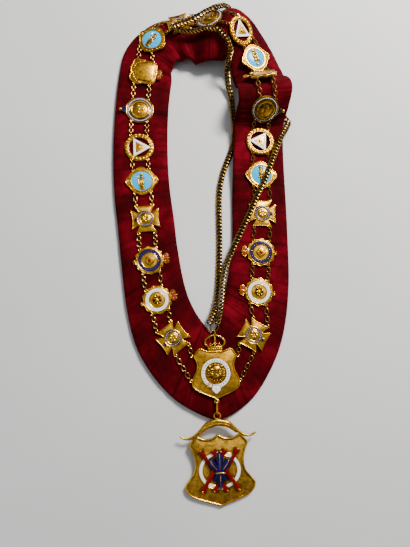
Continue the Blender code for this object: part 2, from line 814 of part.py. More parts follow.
# For each kind of plaque: the function that makes its pieces, how far its plate reaches, and how
# far along its chain eyes sit.
KINDS = {
    # name: pieces, reach, eyes
    "cross": (cross_pieces, CROSS_SIZE * 0.58, CROSS_SIZE / 2 + EYE_RADIUS * 0.3),
    "wreath": (wreath_pieces, WREATH_RADIUS, round_eye(WREATH_RADIUS)),
    "quatrefoil": (quatrefoil_pieces, QUATREFOIL_RADIUS + QUATREFOIL_LOBE, round_eye(QUATREFOIL_RADIUS)),
    "garter": (garter_pieces, GARTER_RADIUS, round_eye(GARTER_RADIUS)),
    "white_rosette": (rosette_pieces, ROSETTE_RADIUS, round_eye(ROSETTE_RADIUS)),
    "blue_rosette": (rosette_pieces, ROSETTE_RADIUS, round_eye(ROSETTE_RADIUS)),
    "cartouche": (cartouche_pieces, CARTOUCHE_LENGTH * 0.55, CARTOUCHE_LENGTH / 2 - EYE_RADIUS * 0.5),
}


def strand_tube(start, end, normal, velvet_tree, back):
    """A short chain between two eyes as a bar that clears the cloth, in a piece's own space."""
    along = (end - start).normalized()
    end = end - along * (EYE_RADIUS + STRAND_RADIUS * 0.4 + GAP)
    points = []
    for step in range(STRAND_STEPS + 1):
        point = start.lerp(end, step / STRAND_STEPS)
        hit = velvet_tree.ray_cast(point + normal * STRAND_PROBE, -normal, 2.5 * STRAND_PROBE)[0]
        if hit is not None:
            short = STRAND_RADIUS * 1.25 + GAP - (point - hit).dot(normal)
            if short > 0:
                point = point + normal * short
        points.append(back @ point)
    bends = [
        (point - points[0].lerp(points[-1], step / STRAND_STEPS)).length for step, point in enumerate(points)
    ]
    return tube(points if max(bends) > GAP else [points[0], points[-1]], STRAND_RADIUS)


def eye_points(frame, reach, side):
    """The two chain eyes at one end of a plaque, the outer one first."""
    half = STRAND_SPREAD / 2
    return [frame @ Vector((side * reach, y, STRAND_RADIUS)) for y in (half, -half)]


def eye_post(x, y, top=PLATE_THICKNESS):
    """The small round eye that a chain hangs on."""
    return prism(circle(EYE_RADIUS, 6, (x, y)), SEAT / 2, top - SEAT / 2)


def make_plaques(velvet_tree, shield_eyes, finishes):
    """The plaques, each soldered to its eyes and to the two short chains that lead on from it."""
    frames = plaque_frames(velvet_tree)
    plaques = []
    for index, (kind, _, _) in enumerate(PLAQUES):
        make_pieces, _, reach = KINDS[kind]
        frame = frames[index]
        back = frame.inverted()
        starts = eye_points(frame, reach, 1)
        if index + 1 < len(PLAQUES):
            ends = eye_points(frames[index + 1], KINDS[PLAQUES[index + 1][0]][2], -1)
            beyond = frames[index + 1]
        else:
            ends = shield_eyes
            beyond = frame
        normal = (frame.to_3x3().col[2] + beyond.to_3x3().col[2]).normalized()
        pieces = make_pieces()
        for x in (-reach, reach):
            for y in (-STRAND_SPREAD / 2, STRAND_SPREAD / 2):
                pieces.append(eye_post(x, y))
        for start, end in zip(starts, ends):
            pieces.append(strand_tube(start, end, normal, velvet_tree, back))
        plaque = fuse(f"plaque_{index + 1:02d}_{kind}", pieces)
        plaque.matrix_world = frame
        plaques.append(finish(plaque, finishes[kind]))
    return plaques, frames


def mirrored(edge, width, height):
    """A whole outline, anticlockwise, from its right half."""
    right = [(x * width / 2, y * height) for x, y in edge]
    left = [(-x, y) for x, y in reversed(right[1:-1])]
    return list(reversed(right + left))


def inset(outline, distance):
    """The outline moved inwards by a distance, point by point."""
    count = len(outline)
    moved = []
    for index in range(count):
        before = Vector(outline[index - 1])
        here = Vector(outline[index])
        after = Vector(outline[(index + 1) % count])
        normals = []
        for a, b in ((before, here), (here, after)):
            along = (b - a).normalized()
            normals.append(Vector((-along.y, along.x)))
        middle = (normals[0] + normals[1]).normalized()
        moved.append(tuple(here + middle * distance / max(middle.dot(normals[0]), 0.5)))
    return moved


def tray(outline, thickness, rim):
    """A plate with a raised rim."""
    inner = inset(outline, RIM_WIDTH)
    top = thickness + rim
    loops = [at_height(outline, 0), at_height(outline, top)]
    loops += [at_height(inner, top), at_height(inner, thickness)]
    return add_object("tray", *stack(loops))


def drop_frame(distance, height, extra_turn=0.0):
    """A place on the line that the drops lie along, its y up the line and its z upwards."""
    lean = math.radians(DROP_LINE_LEAN)
    outer, across, width, _, _ = section_at(0)
    start = outer + across * width
    place = start + Vector((math.sin(lean), -math.cos(lean), 0)) * distance
    place += Vector((math.cos(lean), math.sin(lean), 0)) * DROP_LINE_SIDE
    turn = Matrix.Rotation(lean + math.radians(extra_turn), 4, "Z")
    return Matrix.Translation(place + Vector((0, 0, height))) @ turn


# Places along the drop line, from the inner point of the V.
CROWN_TOP = 0.0010
CROWN_BASE = CROWN_TOP + CROWN_HEIGHT
SHIELD_TIP = CROWN_BASE + SHIELD_HEIGHT * SHIELD_EDGE[0][1]
SHIELD_BACK = PAD_THICKNESS + GAP
LINK_CLEAR = LOOP_WIRE + 2 * GAP + DROP_LINK_WIRE
LINK_HEIGHT = PAD_THICKNESS + GAP + DROP_LINK_WIRE + LINK_CLEAR
LINK_TOP = SHIELD_TIP + 2 * LOOP_RADIUS - SEAT - LINK_CLEAR
LINK_FOOT = LINK_TOP + DROP_LINK_LENGTH - 2 * DROP_LINK_WIRE
HORN_TOP = PENDANT_HEIGHT + HORN_DROP * 0.75 + HORN_RADIUS * 0.35
PENDANT_TILT = math.asin(PAD_THICKNESS * 0.84 / HORN_TOP)

# Where the centre shield's four chain eyes sit, as shares of half its width and its height.
SHIELD_EYES = [
    # across, up
    (1.00, 0.36),
    (0.94, 0.83),
    (-0.94, 0.83),
    (-1.00, 0.36),
]


def shield_eye_points(frame):
    """The centre shield's eyes: right outer, right inner, left inner, left outer."""
    return [
        frame @ Vector((x * (SHIELD_WIDTH / 2 + EYE_RADIUS * 0.4), y * SHIELD_HEIGHT, STRAND_RADIUS))
        for x, y in SHIELD_EYES
    ]


def crown_pieces(base):
    """An openwork crown seen flat: a band, two side arches, a middle arch and an orb."""
    half = CROWN_WIDTH / 2
    height = CROWN_HEIGHT
    wide = half * 0.68
    low = base - CROWN_SEAT
    high = base + height * 0.30
    band = [(-wide * 0.9, low), (wide * 0.9, low), (wide * 1.08, high), (-wide * 1.08, high)]
    pieces = [prism(band, SEAT, SHIELD_PLATE)]
    middle = SHIELD_PLATE * 0.6
    for side in (-1, 1):
        arch = (
            (0.68, 0.24),
            (0.98, 0.46),
            (0.93, 0.66),
            (0.55, 0.83),
            (0.12, 0.80),
        )
        route = [(side * x * half, base + y * height, middle) for x, y in arch]
        pieces.append(tube(route, CROWN_WIRE, 5))
    upright = [(0, base + height * y, middle + SEAT) for y in (0.2, 0.5, 0.9)]
    pieces.append(tube(upright, CROWN_WIRE * 1.15, 5))
    for x in (-0.42, 0.42):
        fleur = circle(CROWN_WIRE * 1.5, 6, (x * half, base + height * 0.34))
        pieces.append(prism(fleur, SEAT * 1.5, SHIELD_PLATE * 0.9))
    orb = circle(CROWN_WIRE * 1.7, 8, (0, base + height - CROWN_WIRE * 1.7))
    pieces.append(prism(orb, SEAT * 0.6, 2 * LOOP_RADIUS - SEAT))
    return pieces


def make_centre_shield(velvet_tree, plaque_ends, gold):
    """The centre shield with its crown, its eyes and the chains that lead to the first plaque."""
    frame = drop_frame(SHIELD_TIP, SHIELD_BACK)
    back = frame.inverted()
    crown_base = SHIELD_HEIGHT * SHIELD_EDGE[0][1]
    outline = mirrored(SHIELD_EDGE, SHIELD_WIDTH, SHIELD_HEIGHT)
    pieces = [tray(outline, SHIELD_PLATE, SHIELD_RIM), *crown_pieces(crown_base)]
    top_loop = (0, crown_base + CROWN_HEIGHT + LOOP_RADIUS * 0.7, LOOP_RADIUS + LOOP_WIRE)
    pieces.append(hoop(top_loop, (0, 1, 0), (0, 0, 1), LOOP_RADIUS, LOOP_RADIUS, LOOP_WIRE, 10))
    foot_loop = (0, SEAT - LOOP_RADIUS, LINK_HEIGHT - SHIELD_BACK)
    pieces.append(hoop(foot_loop, (0, 1, 0), (1, 0, 0), LOOP_RADIUS, LOOP_RADIUS, LOOP_WIRE, 10))
    eyes = shield_eye_points(frame)
    for eye in eyes:
        local = back @ eye
        pieces.append(eye_post(local.x, local.y, SHIELD_PLATE))
    normal = Vector((0, 0, 1))
    for start, end in zip((eyes[3], eyes[2]), plaque_ends):
        pieces.append(strand_tube(start, end, normal, velvet_tree, back))
    shield = fuse("centre_shield", pieces)
    shield.matrix_world = frame
    return finish(shield, gold)


def make_centre_belt(enamel):
    """The round belt on the centre shield, buckled at the foot with a hanging tail."""
    centre = SHIELD_HEIGHT * 0.50
    bottom = SHIELD_PLATE + GAP
    top = bottom + BELT_THICKNESS
    outer = circle(BELT_RADIUS, 24, (0, centre))
    inner = circle(BELT_HOLE_RADIUS, 24, (0, centre))
    ring = annulus(outer, inner, bottom, top)
    foot = centre - BELT_RADIUS
    tail = [(x * BELT_RADIUS, foot + y * BELT_RADIUS) for x, y in BELT_TAIL]
    buckle = [(x * BELT_RADIUS, foot + y * BELT_RADIUS) for x, y in BELT_BUCKLE]
    tail = prism(tail, bottom + SEAT * 0.25, top + SEAT * 0.5)
    buckle = prism(buckle, bottom + SEAT * 0.5, top + SEAT)
    pieces = [ring, tail, buckle]
    belt = fuse("centre_belt", pieces)
    belt.matrix_world = drop_frame(SHIELD_TIP, SHIELD_BACK)
    return finish(belt, enamel)


def make_centre_mask(gold):
    """A generic beast's mask inside the belt: a domed face with brows, a muzzle and cheeks."""
    centre = SHIELD_HEIGHT * 0.50
    bottom = SHIELD_PLATE + GAP + SEAT
    pieces = [dome(MASK_RADIUS, bottom, MASK_HEIGHT * 0.6, 14, (0, centre))]
    rise = bottom + MASK_HEIGHT * 0.45
    for side in (-1, 1):
        brow = (side * MASK_RADIUS * 0.42, centre + MASK_RADIUS * 0.34)
        cheek = (side * MASK_RADIUS * 0.26, centre - MASK_RADIUS * 0.34)
        pieces.append(dome(MASK_RADIUS * 0.27, rise, MASK_HEIGHT * 0.42, 6, brow))
        pieces.append(dome(MASK_RADIUS * 0.24, rise, MASK_HEIGHT * 0.34, 6, cheek))
    pieces.append(dome(MASK_RADIUS * 0.2, rise, MASK_HEIGHT * 0.6, 8, (0, centre)))
    mask = fuse("centre_mask", pieces)
    mask.matrix_world = drop_frame(SHIELD_TIP, SHIELD_BACK)
    return finish(mask, gold, 50)


def make_neck_ring(gold):
    """The round ring that hangs in the crown's loop and takes both ends of the neck chain."""
    inside = LOOP_RADIUS - LOOP_WIRE - NECK_RING_WIRE - GAP
    loop = -(CROWN_TOP - LOOP_RADIUS * 0.7)
    distance = -(loop + NECK_RING_RADIUS + inside)
    frame = drop_frame(distance, SHIELD_BACK + LOOP_RADIUS + LOOP_WIRE)
    reach = NECK_RING_RADIUS
    ring = hoop((0, 0, 0), (0, 1, 0), (1, 0, 0), reach, reach, NECK_RING_WIRE, 14)
    ring.name = "neck_ring"
    ring.matrix_world = frame
    return finish(ring, gold), frame


def smooth_route(points, count):
    """Evenly spaced points along a smooth curve through the route, ends included."""
    points = [Vector(point) for point in points]
    fine = []
    last = len(points) - 1
    for index in range(last):
        before = points[max(index - 1, 0)]
        here = points[index]
        there = points[index + 1]
        after = points[min(index + 2, last)]
        for step in range(12):
            share = step / 12
            bend = 2 * before - 5 * here + 4 * there - after
            twist = 3 * (here - there) + after - before
            fine.append(here + 0.5 * share * (there - before + share * (bend + share * twist)))
    fine.append(points[-1])
    lengths = [0.0]
    for a, b in zip(fine, fine[1:]):
        lengths.append(lengths[-1] + (b - a).length)
    spaced = []
    index = 0
    for step in range(count):
        target = lengths[-1] * step / (count - 1)
        while index < len(fine) - 2 and lengths[index + 1] < target:
            index += 1
        span = lengths[index + 1] - lengths[index]
        share = (target - lengths[index]) / span if span else 0.0
        spaced.append(fine[index].lerp(fine[index + 1], min(max(share, 0.0), 1.0)))
    return spaced


def resting_height(tree, point, along):
    """The lowest height at which the flat chain's middle clears everything below it."""
    side = Vector((-along.y, along.x, 0)).normalized()
    reach = CURB_WIDTH / 2
    rise = CURB_THICKNESS / 2
    needed = rise + GAP
    for ahead in (-2.8, -2.1, -1.4, -0.7, 0, 0.7, 1.4, 2.1, 2.8):
        for off in (-1.1, -0.75, -0.35, 0, 0.35, 0.75, 1.1):
            probe = point + along * ahead * reach + side * off * reach
            above = Vector((probe.x, probe.y, CHAIN_PROBE))
            hit = tree.ray_cast(above, Vector((0, 0, -1)), 1.5 * CHAIN_PROBE)[0]
            if hit is not None:
                drop = math.sqrt(max(1.0 - (off / 1.1) ** 2, 0.0)) * rise
                needed = max(needed, hit.z + drop + GAP * 1.5)
    return needed


def chain_points(tree, ring_frame):
    """The middle line of the curb chain, draped over what lies under it."""
    reach = NECK_RING_RADIUS + NECK_RING_WIRE + GAP + CURB_WIDTH * 0.27
    first = ring_frame @ Vector((-CURB_WIDTH * 0.55, reach, 0))
    last = ring_frame @ Vector((CURB_WIDTH * 0.55, reach, 0))
    route = [first]
    held = [first.z]
    for x, y, share in NECK_CHAIN_ROUTE:
        route.append(Vector((x * COLLAR_SPAN, y * COLLAR_LENGTH, 0)))
        held.append(None if share is None else share * NECK_RISE)
    route.append(last)
    held.append(last.z)
    heights = []
    for index, point in enumerate(route):
        along = route[min(index + 1, len(route) - 1)] - route[max(index - 1, 0)]
        along.z = 0
        if held[index] is None:
            heights.append(resting_height(tree, point, along.normalized()))
        else:
            heights.append(held[index])
    for point, height in zip(route, heights):
        point.z = height
    points = smooth_route(route, NECK_CHAIN_POINTS)
    floor = []
    for index, point in enumerate(points):
        along = points[min(index + 1, len(points) - 1)] - points[max(index - 1, 0)]
        along.z = 0
        nearest = min(range(len(route)), key=lambda item: (route[item].xy - point.xy).length)
        low = held[nearest] is not None
        lowest = CURB_THICKNESS / 2 + GAP
        floor.append(lowest if low else resting_height(tree, point, along.normalized()))
    for _ in range(3):
        heights = [point.z for point in points]
        for index in range(1, len(points) - 1):
            level = (heights[index - 1] + 2 * heights[index] + heights[index + 1]) / 4
            points[index].z = max(floor[index], level)
    return points


def make_neck_chain(tree, ring_frame, gold):
    """The curb chain as a flat bar along its middle line."""
    points = chain_points(tree, ring_frame)
    last = len(points) - 1
    loops = []
    for index, point in enumerate(points):
        along = (points[min(index + 1, last)] - points[max(index - 1, 0)]).normalized()
        side = Vector((0, 0, 1)).cross(along).normalized() * CURB_WIDTH / 2
        up = along.cross(side).normalized() * CURB_THICKNESS / 2
        turns = [2 * math.pi * step / CURB_SIDES for step in range(CURB_SIDES)]
        loops.append([point + side * math.cos(turn) + up * math.sin(turn) for turn in turns])
    return finish(add_object("neck_chain", *stack(loops)), gold)


def make_drop_link(gold):
    """The long link, standing on edge, that joins the centre shield to the hanging shield."""
    half = (LINK_FOOT - LINK_TOP) / 2
    link = hoop((0, 0, 0), (0, 1, 0), (0, 0, 1), half, LINK_CLEAR, DROP_LINK_WIRE, 14)
    link.name = "drop_link"
    link.matrix_world = drop_frame(LINK_TOP + half, LINK_HEIGHT)
    return finish(link, gold)


def pendant_frame():
    """The hanging shield's frame: its origin at the back of its point, its y up its middle and its
    z out of its face. Its point rests on the ground and its horns on the collar's edge."""
    loop_top = HORN_TOP + HORN_RADIUS - SEAT + 2 * PENDANT_LOOP_RADIUS
    hang = drop_frame(LINK_FOOT - LINK_CLEAR, 0, PENDANT_TURN)
    foot = Matrix.Translation((0, -loop_top * math.cos(PENDANT_TILT), 0))
    return hang @ foot @ Matrix.Rotation(PENDANT_TILT, 4, "X")


def make_pendant_shield(gold):
    """The hanging shield with its horn bar and loop."""
    outline = mirrored(PENDANT_EDGE, PENDANT_WIDTH, PENDANT_HEIGHT)
    pieces = [tray(outline, PENDANT_PLATE, PENDANT_RIM)]
    half = HORN_SPAN / 2
    bar = [(-out, down, thick) for out, down, thick in reversed(HORN_BAR[1:])] + HORN_BAR
    route = [(out * half, HORN_TOP - down * HORN_DROP, HORN_RADIUS) for out, down, _ in bar]
    pieces.append(tube(route, HORN_RADIUS, 8, [thick * HORN_RADIUS for _, _, thick in bar]))
    reach = PENDANT_LOOP_RADIUS
    middle = HORN_TOP + HORN_RADIUS - SEAT + reach
    top = middle + reach
    height = (LINK_HEIGHT - top * math.sin(PENDANT_TILT)) / math.cos(PENDANT_TILT)
    pieces.append(hoop((0, middle, height), (0, 1, 0), (1, 0, 0), reach, reach, LOOP_WIRE, 12))
    post = circle(LOOP_WIRE * 2, 8, (0, HORN_TOP + HORN_RADIUS * 0.8))
    pieces.append(prism(post, HORN_RADIUS, height + LOOP_WIRE * 0.7))
    shield = fuse("pendant_shield", pieces)
    shield.matrix_world = pendant_frame()
    return finish(shield, gold)


def bar_outline(start, end, half):
    """A straight bar's outline between two points, a little flared at both ends."""
    start = Vector(start)
    end = Vector(end)
    along = (end - start).normalized()
    side = Vector((-along.y, along.x))
    neck = along * half * 2.2
    points = [start - side * half * 1.8, start + neck - side * half, end - neck - side * half]
    points += [end - side * half * 1.8, end + side * half * 1.8, end - neck + side * half]
    points += [start + neck + side * half, start + side * half * 1.8]
    return [tuple(point) for point in points]


def make_pendant_device(white, red, blue):
    """The enamelled charges: a white oval ring, a red fret of four batons over it, and a blue lily."""
    centre = PENDANT_HEIGHT * 0.50
    half = DEVICE_WIDTH / 2
    low = PENDANT_PLATE + GAP
    step = DEVICE_LAYER + GAP
    edges = [
        [(x * RING_STRETCH, y) for x, y in circle(half * share, 20, (0, centre))]
        for share in (0.92, 0.72)
    ]
    ring = annulus(*edges, low, low + DEVICE_LAYER)
    bars = []
    for side in (-1, 1):
        for shift in (-0.30, 0.30):
            start = ((-0.62 * side + shift) * half, centre - 0.98 * half)
            end = ((0.62 * side + shift) * half, centre + 0.98 * half)
            outline = bar_outline(start, end, half * BATON_SHARE)
            bars.append(prism(outline, low + step, low + step + DEVICE_LAYER))
    fret = fuse("pendant_fret", bars)
    right = [(x * half, centre + y * half) for x, y in LILY]
    left = [(-x, y) for x, y in reversed(right[1:-1])]
    lily = prism(list(reversed(right + left)), low + 2 * step, low + 2 * step + DEVICE_LAYER)
    ring.name = "pendant_ring"
    lily.name = "pendant_lily"
    frame = pendant_frame()
    for obj, enamel in ((ring, white), (fret, red), (lily, blue)):
        obj.matrix_world = frame
        finish(obj, enamel)
    return [ring, fret, lily]


def centre_on_ground(objects):
    """Moves the whole object so that its box stands on the ground with its middle at the origin."""
    bpy.context.view_layer.update()
    low = Vector((1e9, 1e9, 1e9))
    high = -low
    for obj in objects:
        mesh = evaluated_mesh(obj)
        for vertex in mesh.vertices:
            place = obj.matrix_world @ vertex.co
            low = Vector(map(min, low, place))
            high = Vector(map(max, high, place))
        bpy.data.meshes.remove(mesh)
    shift = Matrix.Translation((-(low.x + high.x) / 2, -(low.y + high.y) / 2, -low.z))
    for obj in objects:
        obj.matrix_world = shift @ obj.matrix_world


def main():
    for obj in list(bpy.data.objects):
        bpy.data.objects.remove(obj, do_unlink=True)

    velvet = material("red_velvet", (0.32, 0.012, 0.018), 0.85, 0.0)
    gold = material("gilt_metal", (0.72, 0.48, 0.16), 0.32, 1.0)
    white = material("white_enamel", (0.82, 0.80, 0.74), 0.25, 0.0)
    red = material("red_enamel", (0.45, 0.02, 0.02), 0.25, 0.0)
    blue = material("blue_enamel", (0.03, 0.04, 0.32), 0.25, 0.0)
    turquoise = material("turquoise_enamel", (0.10, 0.58, 0.78), 0.25, 0.0)
    finishes = {kind: gold for kind in KINDS}
    finishes["quatrefoil"] = turquoise
    finishes["white_rosette"] = white
    finishes["blue_rosette"] = blue

    collar = make_collar(velvet)
    bpy.context.view_layer.update()
    velvet_tree = world_tree([collar])
    shield_frame = drop_frame(SHIELD_TIP, SHIELD_BACK)
    right_eyes = shield_eye_points(shield_frame)[:2]
    plaques, frames = make_plaques(velvet_tree, right_eyes, finishes)
    first_ends = eye_points(frames[0], KINDS[PLAQUES[0][0]][2], -1)
    pieces = [collar, *plaques]
    pieces.append(make_centre_shield(velvet_tree, first_ends, gold))
    pieces.append(make_centre_belt(white))
    pieces.append(make_centre_mask(gold))
    ring, ring_frame = make_neck_ring(gold)
    pieces.append(ring)
    bpy.context.view_layer.update()
    pieces.append(make_neck_chain(world_tree([collar, *plaques]), ring_frame, gold))
    pieces.append(make_drop_link(gold))
    pieces.append(make_pendant_shield(gold))
    pieces += make_pendant_device(white, red, blue)
    centre_on_ground(pieces)


if __name__ == "__main__":
    main()
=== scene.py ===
"""Looks of the chain of office: simulated velvet, enamelled plaques on real linked chains, the
centre shield with its crown, the hanging shield and the curb neck chain. Metres, +Z up.
Everything is worked out on the design's own axes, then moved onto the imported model."""

import json
import math
import random
from itertools import zip_longest

import bpy
from mathutils import Matrix, Vector
from mathutils.bvhtree import BVHTree

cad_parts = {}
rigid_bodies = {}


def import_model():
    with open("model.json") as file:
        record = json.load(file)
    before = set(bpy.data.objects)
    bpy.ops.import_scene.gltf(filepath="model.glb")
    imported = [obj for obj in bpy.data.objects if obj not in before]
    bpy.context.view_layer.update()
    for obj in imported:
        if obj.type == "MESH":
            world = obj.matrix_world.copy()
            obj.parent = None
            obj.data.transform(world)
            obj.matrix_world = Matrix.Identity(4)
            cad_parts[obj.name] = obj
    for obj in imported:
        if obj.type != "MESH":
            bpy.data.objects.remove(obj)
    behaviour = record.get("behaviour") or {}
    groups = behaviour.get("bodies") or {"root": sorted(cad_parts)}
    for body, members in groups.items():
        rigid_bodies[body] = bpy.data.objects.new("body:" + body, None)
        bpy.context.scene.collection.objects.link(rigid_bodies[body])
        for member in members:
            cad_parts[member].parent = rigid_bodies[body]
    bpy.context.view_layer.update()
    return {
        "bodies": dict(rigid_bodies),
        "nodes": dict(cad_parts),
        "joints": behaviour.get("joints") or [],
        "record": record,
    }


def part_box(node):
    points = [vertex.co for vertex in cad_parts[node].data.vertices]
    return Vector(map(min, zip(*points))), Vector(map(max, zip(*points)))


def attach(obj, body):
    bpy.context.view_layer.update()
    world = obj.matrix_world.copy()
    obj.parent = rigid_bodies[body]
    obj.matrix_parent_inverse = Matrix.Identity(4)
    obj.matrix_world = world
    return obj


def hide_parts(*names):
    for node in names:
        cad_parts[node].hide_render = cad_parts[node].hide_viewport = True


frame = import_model()

# How far the visible edges are rounded over.
EDGE = 0.0003
# Height of enamel above the metal that carries it.
ENAMEL_RISE = 0.0006
# Gilt lines that border the enamel.
LINE_WIDTH = 0.00035
LINE_RISE = 0.00085
# Edges with a sharper bend than this aren't smoothed over.
SHARP_ANGLE = 42

# Linked chains between the plaques: upright links join flat ones.
EYE_WIRE = 0.00045
FLAT_LINK_REACH = 0.00200
FLAT_LINK_WIRE = 0.00052
# A flat link's length as a share of an upright one's.
FLAT_LINK_SHARE = 1.35
UPRIGHT_LINK_REACH = 0.00100
UPRIGHT_LINK_WIRE = 0.00042
LINK_SPACING = 0.0043

# Curb chain: every link is twisted a quarter turn from end to end.
CURB_WIRE = 0.00098
CURB_PITCH = 0.0042
CURB_TWIST = 42.0
CURB_YAW = -17.0
CURB_END_REACH = 0.0020

# How far the horn bar swells on its lower side, as a share of its radius.
HORN_SWELL = 0.85

# Velvet: the mesh that is simulated starts a little slimmer and may move by the cap.
CLOTH_STEPS = 12
CLOTH_ROUND = 3
CLOTH_SLIM = 0.90
CLOTH_NARROW = 0.985
CLOTH_PRESSURE = 4.0
CLOTH_FRAMES = 20
CLOTH_CAP = 0.0009
CREASES = 190
CREASE_DEPTH = 0.0012
CREASE_SEED = 7
# A section's mean length along the band, for its texture.
BAND_STEP = 0.0365

# Camera, fitted to the photograph, on the design's axes.
CAMERA_PLACE = (-0.0275, 0.0620, 0.5420)
CAMERA_TURN = (10.42, -4.08, 1.57)
CAMERA_LENS = 31.59

# The room: which way it is bright, and its greys from the dark side to the bright one.
ROOM_LIGHT_SIDE = (0.50, 0.62, 0.60)
ROOM_STRENGTH = 0.72
# Half the floor's side.
FLOOR_REACH = 4.0
# Painted shade: the dark colour laid along the crease lines across the velvet.
VELVET_CREASE_SHADE = (0.020, 0.0004, 0.0012)
VELVET_STOPS = [
    (0.33, (0.028, 0.0005, 0.0014)), (0.50, (0.068, 0.0009, 0.0030)), (0.66, (0.150, 0.0030, 0.0085)),
]
ROOM_STOPS = [
    (0.0, (0.10, 0.10, 0.11)), (0.42, (0.26, 0.27, 0.29)), (0.64, (0.46, 0.48, 0.51)),
    (0.80, (0.95, 0.97, 1.0)), (0.97, (1.0, 1.0, 1.0)),
]

# Clearance between pieces that rest on or face each other.
GAP = 0.0003
# How deep soldered pieces sink into each other.
SEAT = 0.0004
# How far above the cloth the searches for what lies below start.
PLATE_PROBE = 0.03
STRAND_PROBE = 0.02
CHAIN_PROBE = 0.2

# Velvet collar.
COLLAR_SPAN = 0.214
COLLAR_LENGTH = 0.507
BAND_WIDTH = 0.067
PAD_THICKNESS = 0.0075
NECK_RISE = 0.030
HUMP_RISE = 0.031
PUCKER_RISE = 0.004
STEPS_PER_SECTION = 3
# How upright the padding stands on a slope: 0 is square to the cloth, 1 is straight up.
PAD_UPRIGHT = 0.5

# Plaques.
PLATE_THICKNESS = 0.0018
RELIEF = 0.0011
# How far up a plate the pieces on it start.
PLATE_SUNK = PLATE_THICKNESS - SEAT
CROSS_SIZE = 0.0325
CROSS_MEDAL_RADIUS = 0.0097
WREATH_RADIUS = 0.0172
WREATH_HOLE_RADIUS = 0.0122
QUATREFOIL_RADIUS = 0.0160
QUATREFOIL_LOBE = 0.0030
QUATREFOIL_ENAMEL_RADIUS = 0.0120
GARTER_RADIUS = 0.0162
GARTER_DOME_RADIUS = 0.0112
GARTER_TAB_REACH = 0.0090
ROSETTE_RADIUS = 0.0160
ROSETTE_SCALLOP = 0.0007
ROSETTE_RING_RADIUS = 0.0128
ROSETTE_HOLE_RADIUS = 0.0088
CARTOUCHE_LENGTH = 0.032
CARTOUCHE_WIDTH = 0.0315
ORNAMENT_REACH = 0.0095
ORNAMENT_WIDTH = 0.0125

# Double chains between plaques.
STRAND_SPREAD = 0.0185
STRAND_RADIUS = 0.0014
STRAND_STEPS = 5
EYE_RADIUS = 0.0018

# Centre shield.
SHIELD_WIDTH = 0.053
SHIELD_HEIGHT = 0.056
SHIELD_PLATE = 0.0020
SHIELD_RIM = 0.0010
RIM_WIDTH = 0.0016
BELT_RADIUS = 0.0166
BELT_HOLE_RADIUS = 0.0112
BELT_THICKNESS = 0.0012
MASK_RADIUS = 0.0104
MASK_HEIGHT = 0.0040
CROWN_WIDTH = 0.0230
CROWN_HEIGHT = 0.0200
CROWN_WIRE = 0.0011
LOOP_RADIUS = 0.0021
LOOP_WIRE = 0.0006

# Neck ring and curb chain.
NECK_RING_RADIUS = 0.0048
NECK_RING_WIRE = 0.0007
CURB_WIDTH = 0.0076
CURB_THICKNESS = 0.0038

# Hanging shield.
PENDANT_WIDTH = 0.076
PENDANT_HEIGHT = 0.0745
PENDANT_PLATE = 0.0024
PENDANT_RIM = 0.0012
DEVICE_LAYER = 0.0008
DEVICE_WIDTH = 0.043
# Half a baton's width as a share of half the device's width.
BATON_SHARE = 0.10
RING_STRETCH = 1.16
HORN_SPAN = 0.081
HORN_RADIUS = 0.0028
PENDANT_TURN = 1.5
PENDANT_LOOP_RADIUS = 0.0034
DROP_LINK_LENGTH = 0.0150
DROP_LINK_WIRE = 0.0008
# The line that the crown, the centre shield and the hanging shield lie along.
DROP_LINE_LEAN = 3.2
# How far that line lies to the right of the middle of the V.
DROP_LINE_SIDE = 0.0042

